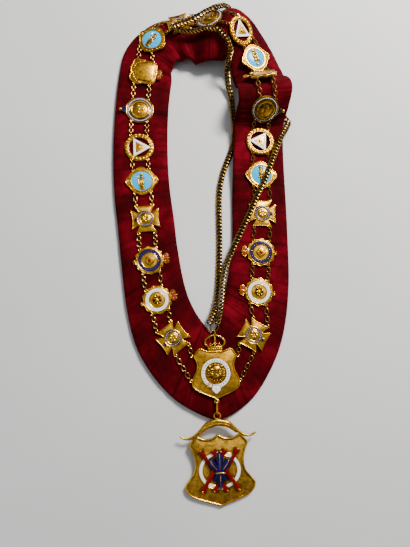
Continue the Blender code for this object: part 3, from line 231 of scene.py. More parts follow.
# One row for each section of the collar, round the loop from the point of the V up the left leg.
# outer_x and outer_y are shares of the span and the length, from the collar's middle and its foot;
# turn is the direction from the outer to the inner edge; width is a share of the band's width;
# the three lifts are shares of the neck's rise; hump is a share of the hump's rise.
SECTIONS = [
    # outer_x, outer_y, turn, width, outer_lift, middle_lift, inner_lift, hump
    # and 0 for what a row leaves out
    (0.110, 0.001, 94.6, 1.42), (-0.019, 0.020, 79.7, 1.37), (-0.123, 0.048, 66.9, 1.32),
    (-0.229, 0.095, 54.6, 1.27), (-0.313, 0.152, 47.2, 1.25), (-0.369, 0.227, 39.0, 1.18),
    (-0.407, 0.316, 28.6, 1.08), (-0.441, 0.408, 17.9, 1.03), (-0.476, 0.502, 9.7, 1.01),
    (-0.495, 0.600, 3.4, 1.00), (-0.499, 0.701, 1.4, 0.99), (-0.490, 0.793, -5.0, 0.99),
    (-0.465, 0.860, -21.3, 0.97, 0.0, 0.08, 0.10), (-0.391, 0.909, -37.3, 0.94, 0.0, 0.22, 0.24),
    (-0.279, 0.945, -56.2, 0.94, 0.0, 0.34, 0.28), (-0.140, 0.956, -74.8, 0.95, 0.05, 0.48, 0.30),
    (0.008, 0.960, -90.2, 0.96, 0.28, 0.72, 0.38), (0.144, 0.966, -100.0, 0.96, 0.70, 0.98, 0.50),
    (0.241, 0.955, -112.5, 0.97, 0.50, 0.74, 0.50), (0.320, 0.930, -125.0, 0.97, 0.14, 0.48, 0.42),
    (0.398, 0.885, -141.7, 0.98, 0.0, 0.32, 0.32), (0.451, 0.842, -154.0, 0.98, 0.0, 0.26, 0.26),
    (0.470, 0.816, -160.0, 0.98, 0.0, 0.12, 0.16, 0.20),
    (0.480, 0.793, -164.0, 0.98, 0.0, 0.0, 0.06, 0.70),
    (0.486, 0.768, -167.0, 0.99, 0.0, 0.0, 0.02, 1.00),
    (0.485, 0.747, -168.0, 0.98, 0.02, 0.0, 0.04, 0.97),
    (0.479, 0.726, -169.5, 0.98, 0.10, 0.0, 0.10, 0.62),
    (0.473, 0.705, -171.0, 0.97, 0.06, 0.04, 0.20, 0.16), (0.468, 0.677, -173.0, 0.96, 0.0, 0.0, 0.25),
    (0.471, 0.600, -175.0, 0.97, 0.0, 0.0, 0.17), (0.484, 0.499, -177.3, 1.00),
    (0.494, 0.403, -180.8, 1.02), (0.499, 0.309, -189.0, 1.09), (0.481, 0.218, -202.1, 1.17),
    (0.433, 0.140, -216.5, 1.23, 0.0, 0.0, 0.05), (0.335, 0.063, -236.0, 1.29),
    (0.221, 0.018, -251.0, 1.37),
]
SECTION_COLUMNS = list(zip_longest(*SECTIONS, fillvalue=0.0))

# Gathers of the inner edge: where along the sections, how many sections wide, how high as a share
# of the pucker rise, and whether it fades out where the cloth comes down to the ground.
PUCKERS = [
    # section, spread, rise, fades
    (12.9, 0.45, 1.0, True), (13.7, 0.35, -0.9, True), (14.5, 0.40, 1.0, True),
    (15.2, 0.35, -0.9, True), (16.1, 0.45, 1.0, True), (17.1, 0.45, -0.8, True),
    (18.1, 0.45, 0.8, True), (33.9, 0.50, 0.9, False),
]

# The band's cross-section: across from the outer to the inner edge as shares of the band's width
# there, and height as shares of the padding. The underside is flat between its two foot points.
PROFILE = [
    # across, height
    (0.000, 0.48), (0.045, 0.00), (0.500, 0.00), (0.955, 0.00), (1.000, 0.48), (0.975, 0.80),
    (0.900, 0.95), (0.620, 1.00), (0.380, 1.00), (0.100, 0.95), (0.025, 0.80),
]

# The plaques in order up the left leg, round the neck and down the right leg: kind, place along
# the sections, and place across as a share of the width from the outer edge.
PLAQUES = [
    # kind, section, across
    ("cross", 3.15, 0.52), ("white_rosette", 4.67, 0.51), ("blue_rosette", 5.91, 0.49),
    ("cross", 7.11, 0.50), ("quatrefoil", 8.16, 0.51), ("wreath", 9.06, 0.48), ("garter", 10.01, 0.47),
    ("cartouche", 11.20, 0.47), ("quatrefoil", 13.05, 0.38), ("cross", 14.78, 0.27),
    ("garter", 16.15, 0.28), ("wreath", 17.95, 0.46), ("quatrefoil", 20.00, 0.50),
    ("cartouche", 22.95, 0.52), ("garter", 26.00, 0.48), ("wreath", 28.45, 0.48),
    ("quatrefoil", 29.40, 0.47), ("cross", 30.34, 0.47), ("blue_rosette", 31.37, 0.50),
    ("white_rosette", 32.51, 0.49), ("cross", 33.96, 0.44),
]

# The right half of each shield's edge from the top to the point, as shares of half the width and
# of the height.
SHIELD_EDGE = [
    (0.00, 0.92), (0.35, 0.93), (0.67, 1.00), (0.92, 0.84), (0.82, 0.75), (0.77, 0.66), (0.80, 0.55),
    (0.93, 0.44), (1.00, 0.34), (0.98, 0.26), (0.885, 0.20), (0.70, 0.145), (0.47, 0.095), (0.22, 0.05),
    (0.00, 0.00),
]
PENDANT_EDGE = [
    (0.00, 1.00), (0.15, 0.950), (0.31, 0.935), (0.47, 0.950), (0.62, 1.00), (0.85, 0.867),
    (0.76, 0.78), (0.70, 0.68), (0.685, 0.583), (0.73, 0.48), (0.88, 0.385), (1.00, 0.305),
    (0.96, 0.225), (0.835, 0.16), (0.60, 0.105), (0.36, 0.065), (0.16, 0.035), (0.00, 0.00),
]

# The right half of the lily from its top to its foot, as shares of half the device's width.
LILY = [
    (0.00, 1.00), (0.20, 0.66), (0.12, 0.30), (0.34, 0.60), (0.56, 0.52), (0.52, 0.26), (0.34, 0.06),
    (0.22, -0.02), (0.22, -0.20), (0.40, -0.50), (0.18, -0.44), (0.00, -0.92),
]

# The belt's hanging tail and its buckle, as shares of the belt's radius, from its lowest point.
BELT_TAIL = [
    (-0.27, 0.24), (-0.30, -0.06), (-0.06, -0.31), (0.06, -0.31), (0.30, -0.06), (0.27, 0.24),
]
BELT_BUCKLE = [
    (-0.63, 0.09), (-0.36, -0.06), (-0.18, 0.36), (-0.45, 0.51),
]

# Half of the horn bar from its middle to its tip: out as a share of half the span, down as a share
# of the drop, and thickness as a share of its radius.
HORN_DROP = 0.0166
HORN_BAR = [
    # out, down, thickness
    (0.00, 0.00, 1.00), (0.20, 0.09, 1.00), (0.33, 0.24, 0.90), (0.50, 0.62, 0.66), (0.68, 0.93, 0.58),
    (0.84, 1.00, 0.48), (1.00, 0.84, 0.36),
]

# The curb chain's way from the neck ring and back to it: x and y as shares of the collar's span
# and length, from its middle and its foot. It lies over what it crosses, apart from the stretches
# that run lower, at a share of the neck's rise.
NECK_CHAIN_ROUTE = [
    # x, y, and height where it doesn't lie on top
    (0.1051, 0.2604), (0.1136, 0.3767), (0.1042, 0.4951), (0.1131, 0.5444, 0.075),
    (0.1336, 0.5779, 0.075), (0.1612, 0.6114, 0.083), (0.1766, 0.6312, 0.080), (0.1846, 0.6726, 0.080),
    (0.1706, 0.7219, 0.080), (0.1589, 0.7594, 0.083), (0.1402, 0.7830, 0.133), (0.1262, 0.8087, 0.333),
    (0.1332, 0.8363), (0.1402, 0.8521), (0.1079, 0.8718), (0.0790, 0.8866), (0.0220, 0.8935),
    (-0.0621, 0.8895), (-0.1449, 0.8925), (-0.1869, 0.8994), (-0.1846, 0.9083), (-0.1449, 0.9122),
    (-0.0921, 0.9191), (-0.0374, 0.9329), (0.0182, 0.9487), (0.0771, 0.9625), (0.1051, 0.9744, 1.033),
    (0.1252, 0.9793, 0.717), (0.1402, 0.9763, 0.267), (0.1589, 0.9527, 0.087), (0.2103, 0.9112, 0.080),
    (0.2710, 0.8777, 0.080), (0.3271, 0.8383, 0.080), (0.3645, 0.7988, 0.080), (0.4019, 0.7594, 0.080),
    (0.4486, 0.7258, 0.080), (0.4907, 0.7022, 0.100), (0.4907, 0.6854, 0.400), (0.4579, 0.6686),
    (0.4201, 0.6282), (0.3864, 0.5872), (0.3584, 0.5519), (0.3257, 0.5191), (0.2986, 0.4943),
    (0.2771, 0.4698), (0.2397, 0.4333), (0.2079, 0.4016), (0.1710, 0.3655), (0.1505, 0.3418),
    (0.1332, 0.3069), (0.1276, 0.2604),
]
NECK_CHAIN_POINTS = 66
# Steps of a smooth curve between two points of its route.
ROUTE_STEPS = 12


# ---- Shape of the band and of what lies on it ----


def spline(before, here, there, after, share):
    """A share of the way along a smooth curve between the middle two of four values or points."""
    bend = 2 * before - 5 * here + 4 * there - after
    twist = 3 * (here - there) + after - before
    return here + 0.5 * share * (there - before + share * (bend + share * twist))


def cubic(values, place, per_loop=0.0):
    """A smooth closed curve through the values, where each round of the loop adds per_loop."""
    count = len(values)
    start = math.floor(place)
    near = range(start - 1, start + 3)
    return spline(*[values[item % count] + per_loop * (item // count) for item in near], place - start)


def section_at(place):
    """The outer point, the direction across, the width, the three lifts and the hump."""
    turn = math.radians(cubic(SECTION_COLUMNS[2], place, -360.0))
    columns = SECTION_COLUMNS[:2] + SECTION_COLUMNS[3:]
    x, y, width, low, middle, high, hump = [cubic(column, place) for column in columns]
    outer = Vector((x * COLLAR_SPAN, y * COLLAR_LENGTH, 0))
    across = Vector((math.cos(turn), math.sin(turn), 0))
    lifts = [lift * NECK_RISE for lift in (low, middle, high)]
    return outer, across, width * BAND_WIDTH, lifts, hump * HUMP_RISE


def pucker_at(place, share, lift):
    """How far a gather of the inner edge raises cloth that is lifted already."""
    raised = min(max(lift / PUCKER_RISE, 0.0), 1.0)
    total = 0.0
    for centre, spread, rise, fades in PUCKERS:
        total += rise * math.exp(-(((place - centre) / spread) ** 2)) * (raised if fades else 1.0)
    reach = min(max((share - 0.45) / 0.55, 0.0), 1.0)
    return PUCKER_RISE * total * reach * reach


def base_point(place, share):
    """A point of the collar's underside."""
    outer, across, width, lifts, hump = section_at(place)
    low, middle, high = lifts
    lift = low * (1 - 2 * share) * (1 - share) + middle * 4 * share * (1 - share)
    lift += high * share * (2 * share - 1) + hump
    lift += pucker_at(place, share, lift)
    point = outer + across * width * share
    point.z = max(lift, 0.0)
    return point


def pad_direction(place, share):
    """Which way the padding stands at a point of the underside."""
    inner = min(max(share, 0.03), 0.97)
    along = base_point(place + 0.1, inner) - base_point(place - 0.1, inner)
    across = base_point(place, inner + 0.03) - base_point(place, inner - 0.03)
    normal = across.cross(along).normalized()
    return normal * (1 - PAD_UPRIGHT) + Vector((0, 0, PAD_UPRIGHT))


def pad_point(place, share, height):
    """A point of the padded band: height is a share of its thickness."""
    return base_point(place, share) + pad_direction(place, share) * PAD_THICKNESS * height


def add_object(name, vertices, faces):
    """An object from points and faces."""
    mesh = bpy.data.meshes.new(name)
    mesh.from_pydata([tuple(point) for point in vertices], [], faces)
    mesh.validate()
    obj = bpy.data.objects.new(name, mesh)
    bpy.context.scene.collection.objects.link(obj)
    return obj


def stack(loops, capped=True):
    """Points and faces of a solid through loops of equally many points, anticlockwise from above,
    from the bottom loop to the top one. Without caps the last loop joins the first."""
    levels, count = len(loops), len(loops[0])
    faces = []
    for level in range(levels - 1 if capped else levels):
        low, high = level * count, (level + 1) % levels * count
        for index in range(count):
            after = (index + 1) % count
            faces.append((low + index, low + after, high + after, high + index))
    if capped:
        faces.append(tuple(reversed(range(count))))
        faces.append(tuple(range((levels - 1) * count, levels * count)))
    return [point for loop in loops for point in loop], faces


def at_height(outline, height):
    """The flat outline as points at one height."""
    return [(x, y, height) for x, y in outline]


def pair(reach):
    """One reach, or two, as two."""
    return reach if isinstance(reach, tuple) else (reach, reach)


def around(count, radius, centre=(0, 0), start=0.0, sweep=math.tau):
    """The angles and places of points set evenly round a circle or, with two radii, an oval."""
    long, wide = pair(radius)
    for index in range(count):
        angle = start + sweep * index / count
        yield angle, (centre[0] + long * math.cos(angle), centre[1] + wide * math.sin(angle))


def circle(radius, sides, centre=(0, 0), start=0.0):
    """A round outline, anticlockwise."""
    return [place for _, place in around(sides, radius, centre, start)]


def polar(reach, sides):
    """An outline whose distance from the middle is a function of the angle."""
    return [(reach(angle) * x, reach(angle) * y) for angle, (x, y) in around(sides, 1)]


def plate_frame(place, share, heading, tree, reach):
    """Where a flat plate rests on the padding: its x runs along the chain, its y to the outer
    edge and its z up out of the cloth."""
    length = (pad_point(place + 0.5, share, 1) - pad_point(place - 0.5, share, 1)).length
    step = 0.7 * reach / length
    along = pad_point(place + step, share, 1) - pad_point(place - step, share, 1)
    spread = 0.7 * reach / section_at(place)[2]
    across = pad_point(place, share - spread, 1) - pad_point(place, share + spread, 1)
    normal = along.cross(across).normalized()
    side = normal.cross(heading).normalized()
    along = side.cross(normal)
    middle = pad_point(place, share, 1)
    highest = -reach
    for ring in (0.0, 0.35, 0.7, 1.0, 1.12):
        for index in range(24):
            angle = math.tau * index / 24
            probe = middle + (along * math.cos(angle) + side * math.sin(angle)) * reach * ring
            hit = tree.ray_cast(probe + normal * PLATE_PROBE, -normal, 2 * PLATE_PROBE)[0]
            if hit is not None:
                highest = max(highest, (hit - middle).dot(normal))
    origin = middle + normal * (highest + GAP)
    rotation = Matrix((along, side, normal)).transposed()
    return Matrix.Translation(origin) @ rotation.to_4x4()


def plaque_frames(tree):
    """Every plaque's frame, headed along the line from the piece before it to the next."""
    shield = drop_frame(SHIELD_TIP - SHIELD_HEIGHT / 2, SHIELD_BACK).translation
    middles = [shield] + [pad_point(place, share, 1) for _, place, share in PLAQUES] + [shield]
    frames = []
    for index, (kind, place, share) in enumerate(PLAQUES):
        heading = middles[index + 2] - middles[index]
        frames.append(plate_frame(place, share, heading, tree, KINDS[kind][0]))
    return frames


def round_eye(radius):
    """How far along the collar the chain eyes sit on a round plate."""
    return math.sqrt(radius**2 - (STRAND_SPREAD / 2) ** 2) + EYE_RADIUS * 0.4


# For each kind of plaque: how far its plate reaches, and how far along its chain eyes sit.
KINDS = {
    # name: reach, eyes
    "cross": (CROSS_SIZE * 0.58, CROSS_SIZE / 2 + EYE_RADIUS * 0.3),
    "wreath": (WREATH_RADIUS, round_eye(WREATH_RADIUS)),
    "quatrefoil": (QUATREFOIL_RADIUS + QUATREFOIL_LOBE, round_eye(QUATREFOIL_RADIUS)),
    "garter": (GARTER_RADIUS, round_eye(GARTER_RADIUS)),
    "white_rosette": (ROSETTE_RADIUS, round_eye(ROSETTE_RADIUS)),
    "blue_rosette": (ROSETTE_RADIUS, round_eye(ROSETTE_RADIUS)),
    "cartouche": (CARTOUCHE_LENGTH * 0.55, CARTOUCHE_LENGTH / 2 - EYE_RADIUS * 0.5),
}


def band_object(name, profile, per_section, narrow=1.0, slim=1.0):
    """The band through its cross-sections, and each point's place along, across and up."""
    steps = len(SECTIONS) * per_section
    spots = [(step / per_section, *point) for step in range(steps) for point in profile]
    vertices = [
        pad_point(place, 0.5 + (across - 0.5) * narrow, 0.5 + (height - 0.5) * slim)
        for place, across, height in spots
    ]
    count = len(profile)
    loops = [vertices[first : first + count] for first in range(0, len(vertices), count)]
    vertices, faces = stack(loops, capped=False)
    return add_object(name, vertices, [(a, d, c, b) for a, b, c, d in faces]), spots


def eye_points(frame, reach, side):
    """The two chain eyes at one end of a plaque, the outer one first."""
    half = STRAND_SPREAD / 2
    return [frame @ Vector((side * reach, y, STRAND_RADIUS)) for y in (half, -half)]


def mirrored(edge, width, height):
    """A whole outline, anticlockwise, from its right half."""
    right = [(x * width / 2, y * height) for x, y in edge]
    left = [(-x, y) for x, y in reversed(right[1:-1])]
    return list(reversed(right + left))


def inset(outline, distance):
    """The outline moved inwards by a distance, point by point."""
    moved = []
    for index in range(len(outline)):
        before, here, after = [Vector(outline[item % len(outline)]) for item in (index - 1, index, index + 1)]
        ways = [(here - before).normalized(), (after - here).normalized()]
        normals = [Vector((-way.y, way.x)) for way in ways]
        middle = (normals[0] + normals[1]).normalized()
        moved.append(tuple(here + middle * distance / max(middle.dot(normals[0]), 0.5)))
    return moved


def drop_frame(distance, height, extra_turn=0.0):
    """A place on the line that the drops lie along, its y up the line and its z upwards."""
    lean = math.radians(DROP_LINE_LEAN)
    outer, across, width, _, _ = section_at(0)
    start = outer + across * width
    place = start + Vector((math.sin(lean), -math.cos(lean), 0)) * distance
    place += Vector((math.cos(lean), math.sin(lean), 0)) * DROP_LINE_SIDE
    turn = Matrix.Rotation(lean + math.radians(extra_turn), 4, "Z")
    return Matrix.Translation(place + Vector((0, 0, height))) @ turn


# Places along the drop line, from the inner point of the V.
CROWN_TOP = 0.0010
CROWN_BASE = CROWN_TOP + CROWN_HEIGHT
SHIELD_TIP = CROWN_BASE + SHIELD_HEIGHT * SHIELD_EDGE[0][1]
SHIELD_BACK = PAD_THICKNESS + GAP
LINK_CLEAR = LOOP_WIRE + 2 * GAP + DROP_LINK_WIRE
LINK_HEIGHT = PAD_THICKNESS + GAP + DROP_LINK_WIRE + LINK_CLEAR
LINK_TOP = SHIELD_TIP + 2 * LOOP_RADIUS - SEAT - LINK_CLEAR
LINK_FOOT = LINK_TOP + DROP_LINK_LENGTH - 2 * DROP_LINK_WIRE
HORN_TOP = PENDANT_HEIGHT + HORN_DROP * 0.75 + HORN_RADIUS * 0.35
PENDANT_TILT = math.asin(PAD_THICKNESS * 0.84 / HORN_TOP)

# Where the centre shield's four chain eyes sit, as shares of half its width and its height.
SHIELD_EYES = [
    # across, up
    (1.00, 0.36), (0.94, 0.83), (-0.94, 0.83), (-1.00, 0.36),
]


def shield_eye_points(frame):
    """The centre shield's eyes: right outer, right inner, left inner, left outer."""
    return [
        frame @ Vector((x * (SHIELD_WIDTH / 2 + EYE_RADIUS * 0.4), y * SHIELD_HEIGHT, STRAND_RADIUS))
        for x, y in SHIELD_EYES
    ]


def way_lengths(points):
    """How far along the way each point lies."""
    lengths = [0.0]
    for a, b in zip(points, points[1:]):
        lengths.append(lengths[-1] + (b - a).length)
    return lengths


def way_place(points, lengths, distance):
    """The point at a distance along the way, also a little before its start or after its end."""
    index = 0
    while index < len(points) - 2 and lengths[index + 1] < distance:
        index += 1
    share = (distance - lengths[index]) / (lengths[index + 1] - lengths[index])
    return points[index] + (points[index + 1] - points[index]) * share


def smooth_route(points, count):
    """Evenly spaced points along a smooth curve through the route, ends included."""
    points = [Vector(point) for point in points]
    last = len(points) - 1
    fine = []
    for index in range(last):
        near = [points[min(max(index + step, 0), last)] for step in (-1, 0, 1, 2)]
        fine += [spline(*near, step / ROUTE_STEPS) for step in range(ROUTE_STEPS)]
    fine.append(points[-1])
    lengths = way_lengths(fine)
    return [way_place(fine, lengths, lengths[-1] * step / (count - 1)) for step in range(count)]


def resting_height(tree, point, along):
    """The lowest height at which the flat chain's middle clears everything below it."""
    side = Vector((-along.y, along.x, 0)).normalized()
    reach = CURB_WIDTH / 2
    rise = CURB_THICKNESS / 2
    needed = rise + GAP
    for ahead in (-2.8, -2.1, -1.4, -0.7, 0, 0.7, 1.4, 2.1, 2.8):
        for off in (-1.1, -0.75, -0.35, 0, 0.35, 0.75, 1.1):
            probe = point + along * ahead * reach + side * off * reach
            above = Vector((probe.x, probe.y, CHAIN_PROBE))
            hit = tree.ray_cast(above, Vector((0, 0, -1)), 1.5 * CHAIN_PROBE)[0]
            if hit is not None:
                drop = math.sqrt(max(1.0 - (off / 1.1) ** 2, 0.0)) * rise
                needed = max(needed, hit.z + drop + GAP * 1.5)
    return needed


def level_way(points, index):
    """The level direction of a route at one of its points."""
    way = points[min(index + 1, len(points) - 1)] - points[max(index - 1, 0)]
    way.z = 0
    return way.normalized()


def chain_points(tree, ring_frame):
    """The middle line of the curb chain, draped over what lies under it."""
    reach = NECK_RING_RADIUS + NECK_RING_WIRE + GAP + CURB_WIDTH * 0.27
    first, last = [ring_frame @ Vector((side * CURB_WIDTH * 0.55, reach, 0)) for side in (-1, 1)]
    route, held = [first], [first.z]
    for x, y, *share in NECK_CHAIN_ROUTE:
        route.append(Vector((x * COLLAR_SPAN, y * COLLAR_LENGTH, 0)))
        held.append(share[0] * NECK_RISE if share else None)
    route.append(last)
    held.append(last.z)
    heights = [
        resting_height(tree, point, level_way(route, index)) if height is None else height
        for index, (point, height) in enumerate(zip(route, held))
    ]
    for point, height in zip(route, heights):
        point.z = height
    points = smooth_route(route, NECK_CHAIN_POINTS)
    floor = []
    for index, point in enumerate(points):
        nearest = min(range(len(route)), key=lambda item: (route[item].xy - point.xy).length)
        if held[nearest] is None:
            floor.append(resting_height(tree, point, level_way(points, index)))
        else:
            floor.append(CURB_THICKNESS / 2 + GAP)
    for _ in range(3):
        heights = [point.z for point in points]
        for index in range(1, len(points) - 1):
            level = (heights[index - 1] + 2 * heights[index] + heights[index + 1]) / 4
            points[index].z = max(floor[index], level)
    return points


def pendant_frame():
    """The hanging shield's frame: its origin at the back of its point, its y up its middle and its
    z out of its face. Its point rests on the ground and its horns on the collar's edge."""
    loop_top = HORN_TOP + HORN_RADIUS - SEAT + 2 * PENDANT_LOOP_RADIUS
    hang = drop_frame(LINK_FOOT - LINK_CLEAR, 0, PENDANT_TURN)
    foot = Matrix.Translation((0, -loop_top * math.cos(PENDANT_TILT), 0))
    return hang @ foot @ Matrix.Rotation(PENDANT_TILT, 4, "X")


def bar_outline(start, end, half):
    """A straight bar's outline between two points, a little flared at both ends."""
    start, end = Vector(start), Vector(end)
    along = (end - start).normalized() * half
    side = Vector((-along.y, along.x))
    neck, flare = along * 2.2, side * 1.8
    points = [start - flare, start + neck - side, end - neck - side, end - flare]
    points += [end + flare, end - neck + side, start + neck + side, start + flare]
    return [tuple(point) for point in points]


def neck_ring_frame():
    """Where the round ring hangs in the crown's loop."""
    inside = LOOP_RADIUS - LOOP_WIRE - NECK_RING_WIRE - GAP
    loop = -(CROWN_TOP - LOOP_RADIUS * 0.7)
    distance = -(loop + NECK_RING_RADIUS + inside)
    return drop_frame(distance, SHIELD_BACK + LOOP_RADIUS + LOOP_WIRE)


# The record's slot of each look.
SLOTS = {
    "velvet": "velvet",
    **dict.fromkeys(("gilt", "satin", "stippled", "antique", "shade", "brass"), "gilt_metal"),
    "white": "white_enamel",
    "blue": "blue_enamel",
    **dict.fromkeys(("red", "pink"), "red_enamel"),
    "turquoise": "turquoise_enamel",
}


# ---- Materials ----


def set_inputs(tree, node, **inputs):
    """Sets or joins a node's inputs, each named with _ for a space."""
    for name, value in inputs.items():
        socket = node.inputs[name.replace("_", " ")]
        if isinstance(value, bpy.types.NodeSocket):
            tree.links.new(value, socket)
        else:
            socket.default_value = value
    return node


def add_node(tree, kind, **inputs):
    """A shader node with its inputs set or joined."""
    return set_inputs(tree, tree.nodes.new(kind), **inputs)


def add_ramp(tree, factor, stops):
    """A colour ramp through (place, colour) stops."""
    made = tree.nodes.new("ShaderNodeValToRGB")
    tree.links.new(factor, made.inputs["Fac"])
    ramp = made.color_ramp
    while len(ramp.elements) < len(stops):
        ramp.elements.new(0.5)
    for element, (place, colour) in zip(ramp.elements, stops):
        element.position = place
        element.color = (*colour, 1) if len(colour) == 3 else colour
    return made.outputs["Color"]


def mix_colours(tree, factor, first, second, blend="MIX"):
    """Two colours mixed by a factor."""
    made = tree.nodes.new("ShaderNodeMix")
    made.data_type = "RGBA"
    made.blend_type = blend
    for index, value in ((0, factor), (6, first), (7, second)):
        if isinstance(value, bpy.types.NodeSocket):
            tree.links.new(value, made.inputs[index])
        else:
            made.inputs[index].default_value = (*value, 1) if isinstance(value, tuple) else value
    return made.outputs[2]


def grey(value):
    """A grey colour."""
    return (value, value, value)


def new_material(name):
    """A material, its node tree, its shader and the places on the object."""
    made = bpy.data.materials.new(name)
    made.use_nodes = True
    tree = made.node_tree
    place = tree.nodes.new("ShaderNodeTexCoord").outputs["Object"]
    return made, tree, tree.nodes["Principled BSDF"], place


def noise(tree, coordinates, scale, detail=3.0, roughness=0.5):
    """A noise texture's strength."""
    inputs = {"Vector": coordinates, "Scale": scale, "Detail": detail, "Roughness": roughness}
    return add_node(tree, "ShaderNodeTexNoise", **inputs).outputs["Fac"]


def join_bump(tree, shader, height, strength, distance):
    """Joins a height to the shader's normal."""
    bump = add_node(tree, "ShaderNodeBump", Height=height, Strength=strength, Distance=distance)
    tree.links.new(bump.outputs["Normal"], shader.inputs["Normal"])


def shaded_recess(tree, colour, dark, reach):
    """The colour, darkened as painted shade where the surface lies in a recess."""
    occlusion = add_node(tree, "ShaderNodeAmbientOcclusion", Distance=reach)
    occlusion.samples = 8
    factor = add_ramp(tree, occlusion.outputs["AO"], [(0.34, grey(1.0)), (0.95, grey(0.0))])
    return mix_colours(tree, factor, colour, dark)


def metal(name, bright, deep, rough, grain, depth, recess=0.0012, stipple=None):
    """Gilt metal: worn brighter in patches, darkened in recesses by tarnish and painted shade, with a fine
    grain.
    """
    made, tree, shader, place = new_material(name)
    patch = noise(tree, place, 240.0, 4.0, 0.6)
    colour = add_ramp(tree, patch, [(0.36, deep), (0.62, bright)])
    # Tarnish and painted shade: darker where the metal lies in a recess.
    colour = shaded_recess(tree, colour, tuple(channel * 0.22 for channel in deep), recess)
    smudge = noise(tree, place, 620.0, 5.0, 0.65)
    roughness = add_ramp(tree, smudge, [(0.3, grey(rough[0])), (0.7, grey(rough[1]))])
    set_inputs(tree, shader, Base_Color=colour, Roughness=roughness, Metallic=1.0)
    if stipple:
        cells = add_node(tree, "ShaderNodeTexVoronoi", Vector=place, Scale=stipple)
        join_bump(tree, shader, cells.outputs["Distance"], 0.9, depth)
    else:
        join_bump(tree, shader, noise(tree, place, grain, 3.0, 0.6), 0.5, depth)
    return made


def enamel(name, colour, deep, coat=0.5, shine=0.5):
    """Glossy fired enamel with cloudy depth and edges darkened with painted shade."""
    made, tree, shader, place = new_material(name)
    cloud = noise(tree, place, 700.0, 4.0, 0.6)
    mixed = add_ramp(tree, cloud, [(0.32, deep), (0.60, colour)])
    # Painted shade: darker where the enamel lies in a recess.
    mixed = shaded_recess(tree, mixed, tuple(channel * 0.35 for channel in deep), 0.0008)
    wear = noise(tree, place, 1600.0, 3.0, 0.5)
    roughness = add_ramp(tree, wear, [(0.35, grey(0.14)), (0.75, grey(0.34))])
    gloss = {"Specular_IOR_Level": shine, "Coat_Weight": coat, "Coat_Roughness": 0.08}
    set_inputs(tree, shader, Base_Color=mixed, Roughness=roughness, **gloss)
    join_bump(tree, shader, noise(tree, place, 900.0, 2.0, 0.5), 0.25, 0.00008)
    return made


def velvet_material():
    """Crimson cotton velvet: nap that turns in patches, creases across the band with painted shade along
    them, and sheen.
    """
    made, tree, shader, place = new_material("crimson_velvet")
    band = add_node(tree, "ShaderNodeUVMap")
    band.uv_map = "Band"
    along = add_node(tree, "ShaderNodeMapping", Vector=band.outputs["UV"], Scale=(150.0, 4.0, 1.0))
    streaks = noise(tree, along.outputs["Vector"], 1.0, 4.0, 0.6)
    nap = noise(tree, place, 30.0, 6.0, 0.66)
    pile = noise(tree, place, 2600.0, 3.0, 0.7)
    # Painted shade: a mask of dark lines along the creases across the band.
    lines = add_ramp(tree, streaks, [(0.33, grey(0.88)), (0.50, grey(0.0))])
    colour = mix_colours(tree, lines, add_ramp(tree, nap, VELVET_STOPS), VELVET_CREASE_SHADE)
    speck = add_ramp(tree, pile, [(0.35, grey(0.72)), (0.70, grey(1.15))])
    colour = mix_colours(tree, 1.0, colour, speck, "MULTIPLY")
    rough = add_ramp(tree, pile, [(0.3, grey(0.78)), (0.7, grey(0.95))])
    sheen = {"Sheen_Weight": 0.16, "Sheen_Roughness": 0.30, "Sheen_Tint": (0.95, 0.04, 0.08, 1)}
    set_inputs(tree, shader, Base_Color=colour, Roughness=rough, Specular_IOR_Level=0.03, **sheen)
    join_bump(tree, shader, mix_colours(tree, 0.4, streaks, pile), 0.55, 0.0009)
    return made


def floor_material():
    """A plain pale matt floor."""
    made, tree, shader, place = new_material("pale_floor")
    cloud = noise(tree, place, 3.0, 4.0, 0.6)
    colour = add_ramp(tree, cloud, [(0.3, grey(0.60)), (0.7, grey(0.66))])
    set_inputs(tree, shader, Base_Color=colour, Roughness=0.75)
    join_bump(tree, shader, noise(tree, place, 400.0), 0.15, 0.0003)
    return made


def make_materials():
    """Every look by its name."""
    metals = {
        # look: name, bright, deep, least and most rough, grain, depth of the grain, reach of the recess
        # tarnish and painted shade, stipple
        "gilt": ("gilt", (0.93, 0.52, 0.042), (0.54, 0.25, 0.012), (0.14, 0.29), 1500.0, 0.00018),
        "satin": ("satin_gilt", (0.78, 0.41, 0.030), (0.40, 0.190, 0.009), (0.24, 0.40), 3600.0, 0.00016),
        "stippled": (
            *("stippled_gilt", (0.48, 0.265, 0.026), (0.22, 0.115, 0.010), (0.32, 0.50)),
            *(0.0, 0.00050, 0.003, 1150.0),
        ),
        "antique": ("antique_gilt", (0.56, 0.29, 0.026), (0.14, 0.066, 0.006), (0.20, 0.38), 1700.0, 0.00024),
        # The dark look: painted shade filling the rosettes' holes, and small marks on the belt.
        "shade": ("dark_recess_shade_and_marks", (0.045, 0.024, 0.008), (0.015, 0.009, 0.004), (0.45, 0.65), 1500.0, 0.00010),
        "brass": (
            *("brass_chain", (0.36, 0.20, 0.042), (0.085, 0.046, 0.010), (0.16, 0.32)),
            *(1500.0, 0.00010, 0.0040),
        ),
    }
    dull = {"coat": 0.1, "shine": 0.2}
    return {
        "velvet": velvet_material(),
        **{look: metal(*values) for look, values in metals.items()},
        "white": enamel("white_enamel", (0.98, 0.965, 0.91), (0.86, 0.83, 0.75)),
        "blue": enamel("blue_enamel", (0.006, 0.003, 0.070), (0.002, 0.001, 0.026), **dull),
        "red": enamel("red_enamel", (0.200, 0.0015, 0.003), (0.075, 0.0008, 0.0015), **dull),
        "pink": enamel("pink_enamel", (0.33, 0.022, 0.014), (0.16, 0.009, 0.006), **dull),
        "turquoise": enamel("turquoise_enamel", (0.004, 0.46, 0.80), (0.003, 0.33, 0.62), **dull),
    }


# ---- Shells: a look, points and faces ----


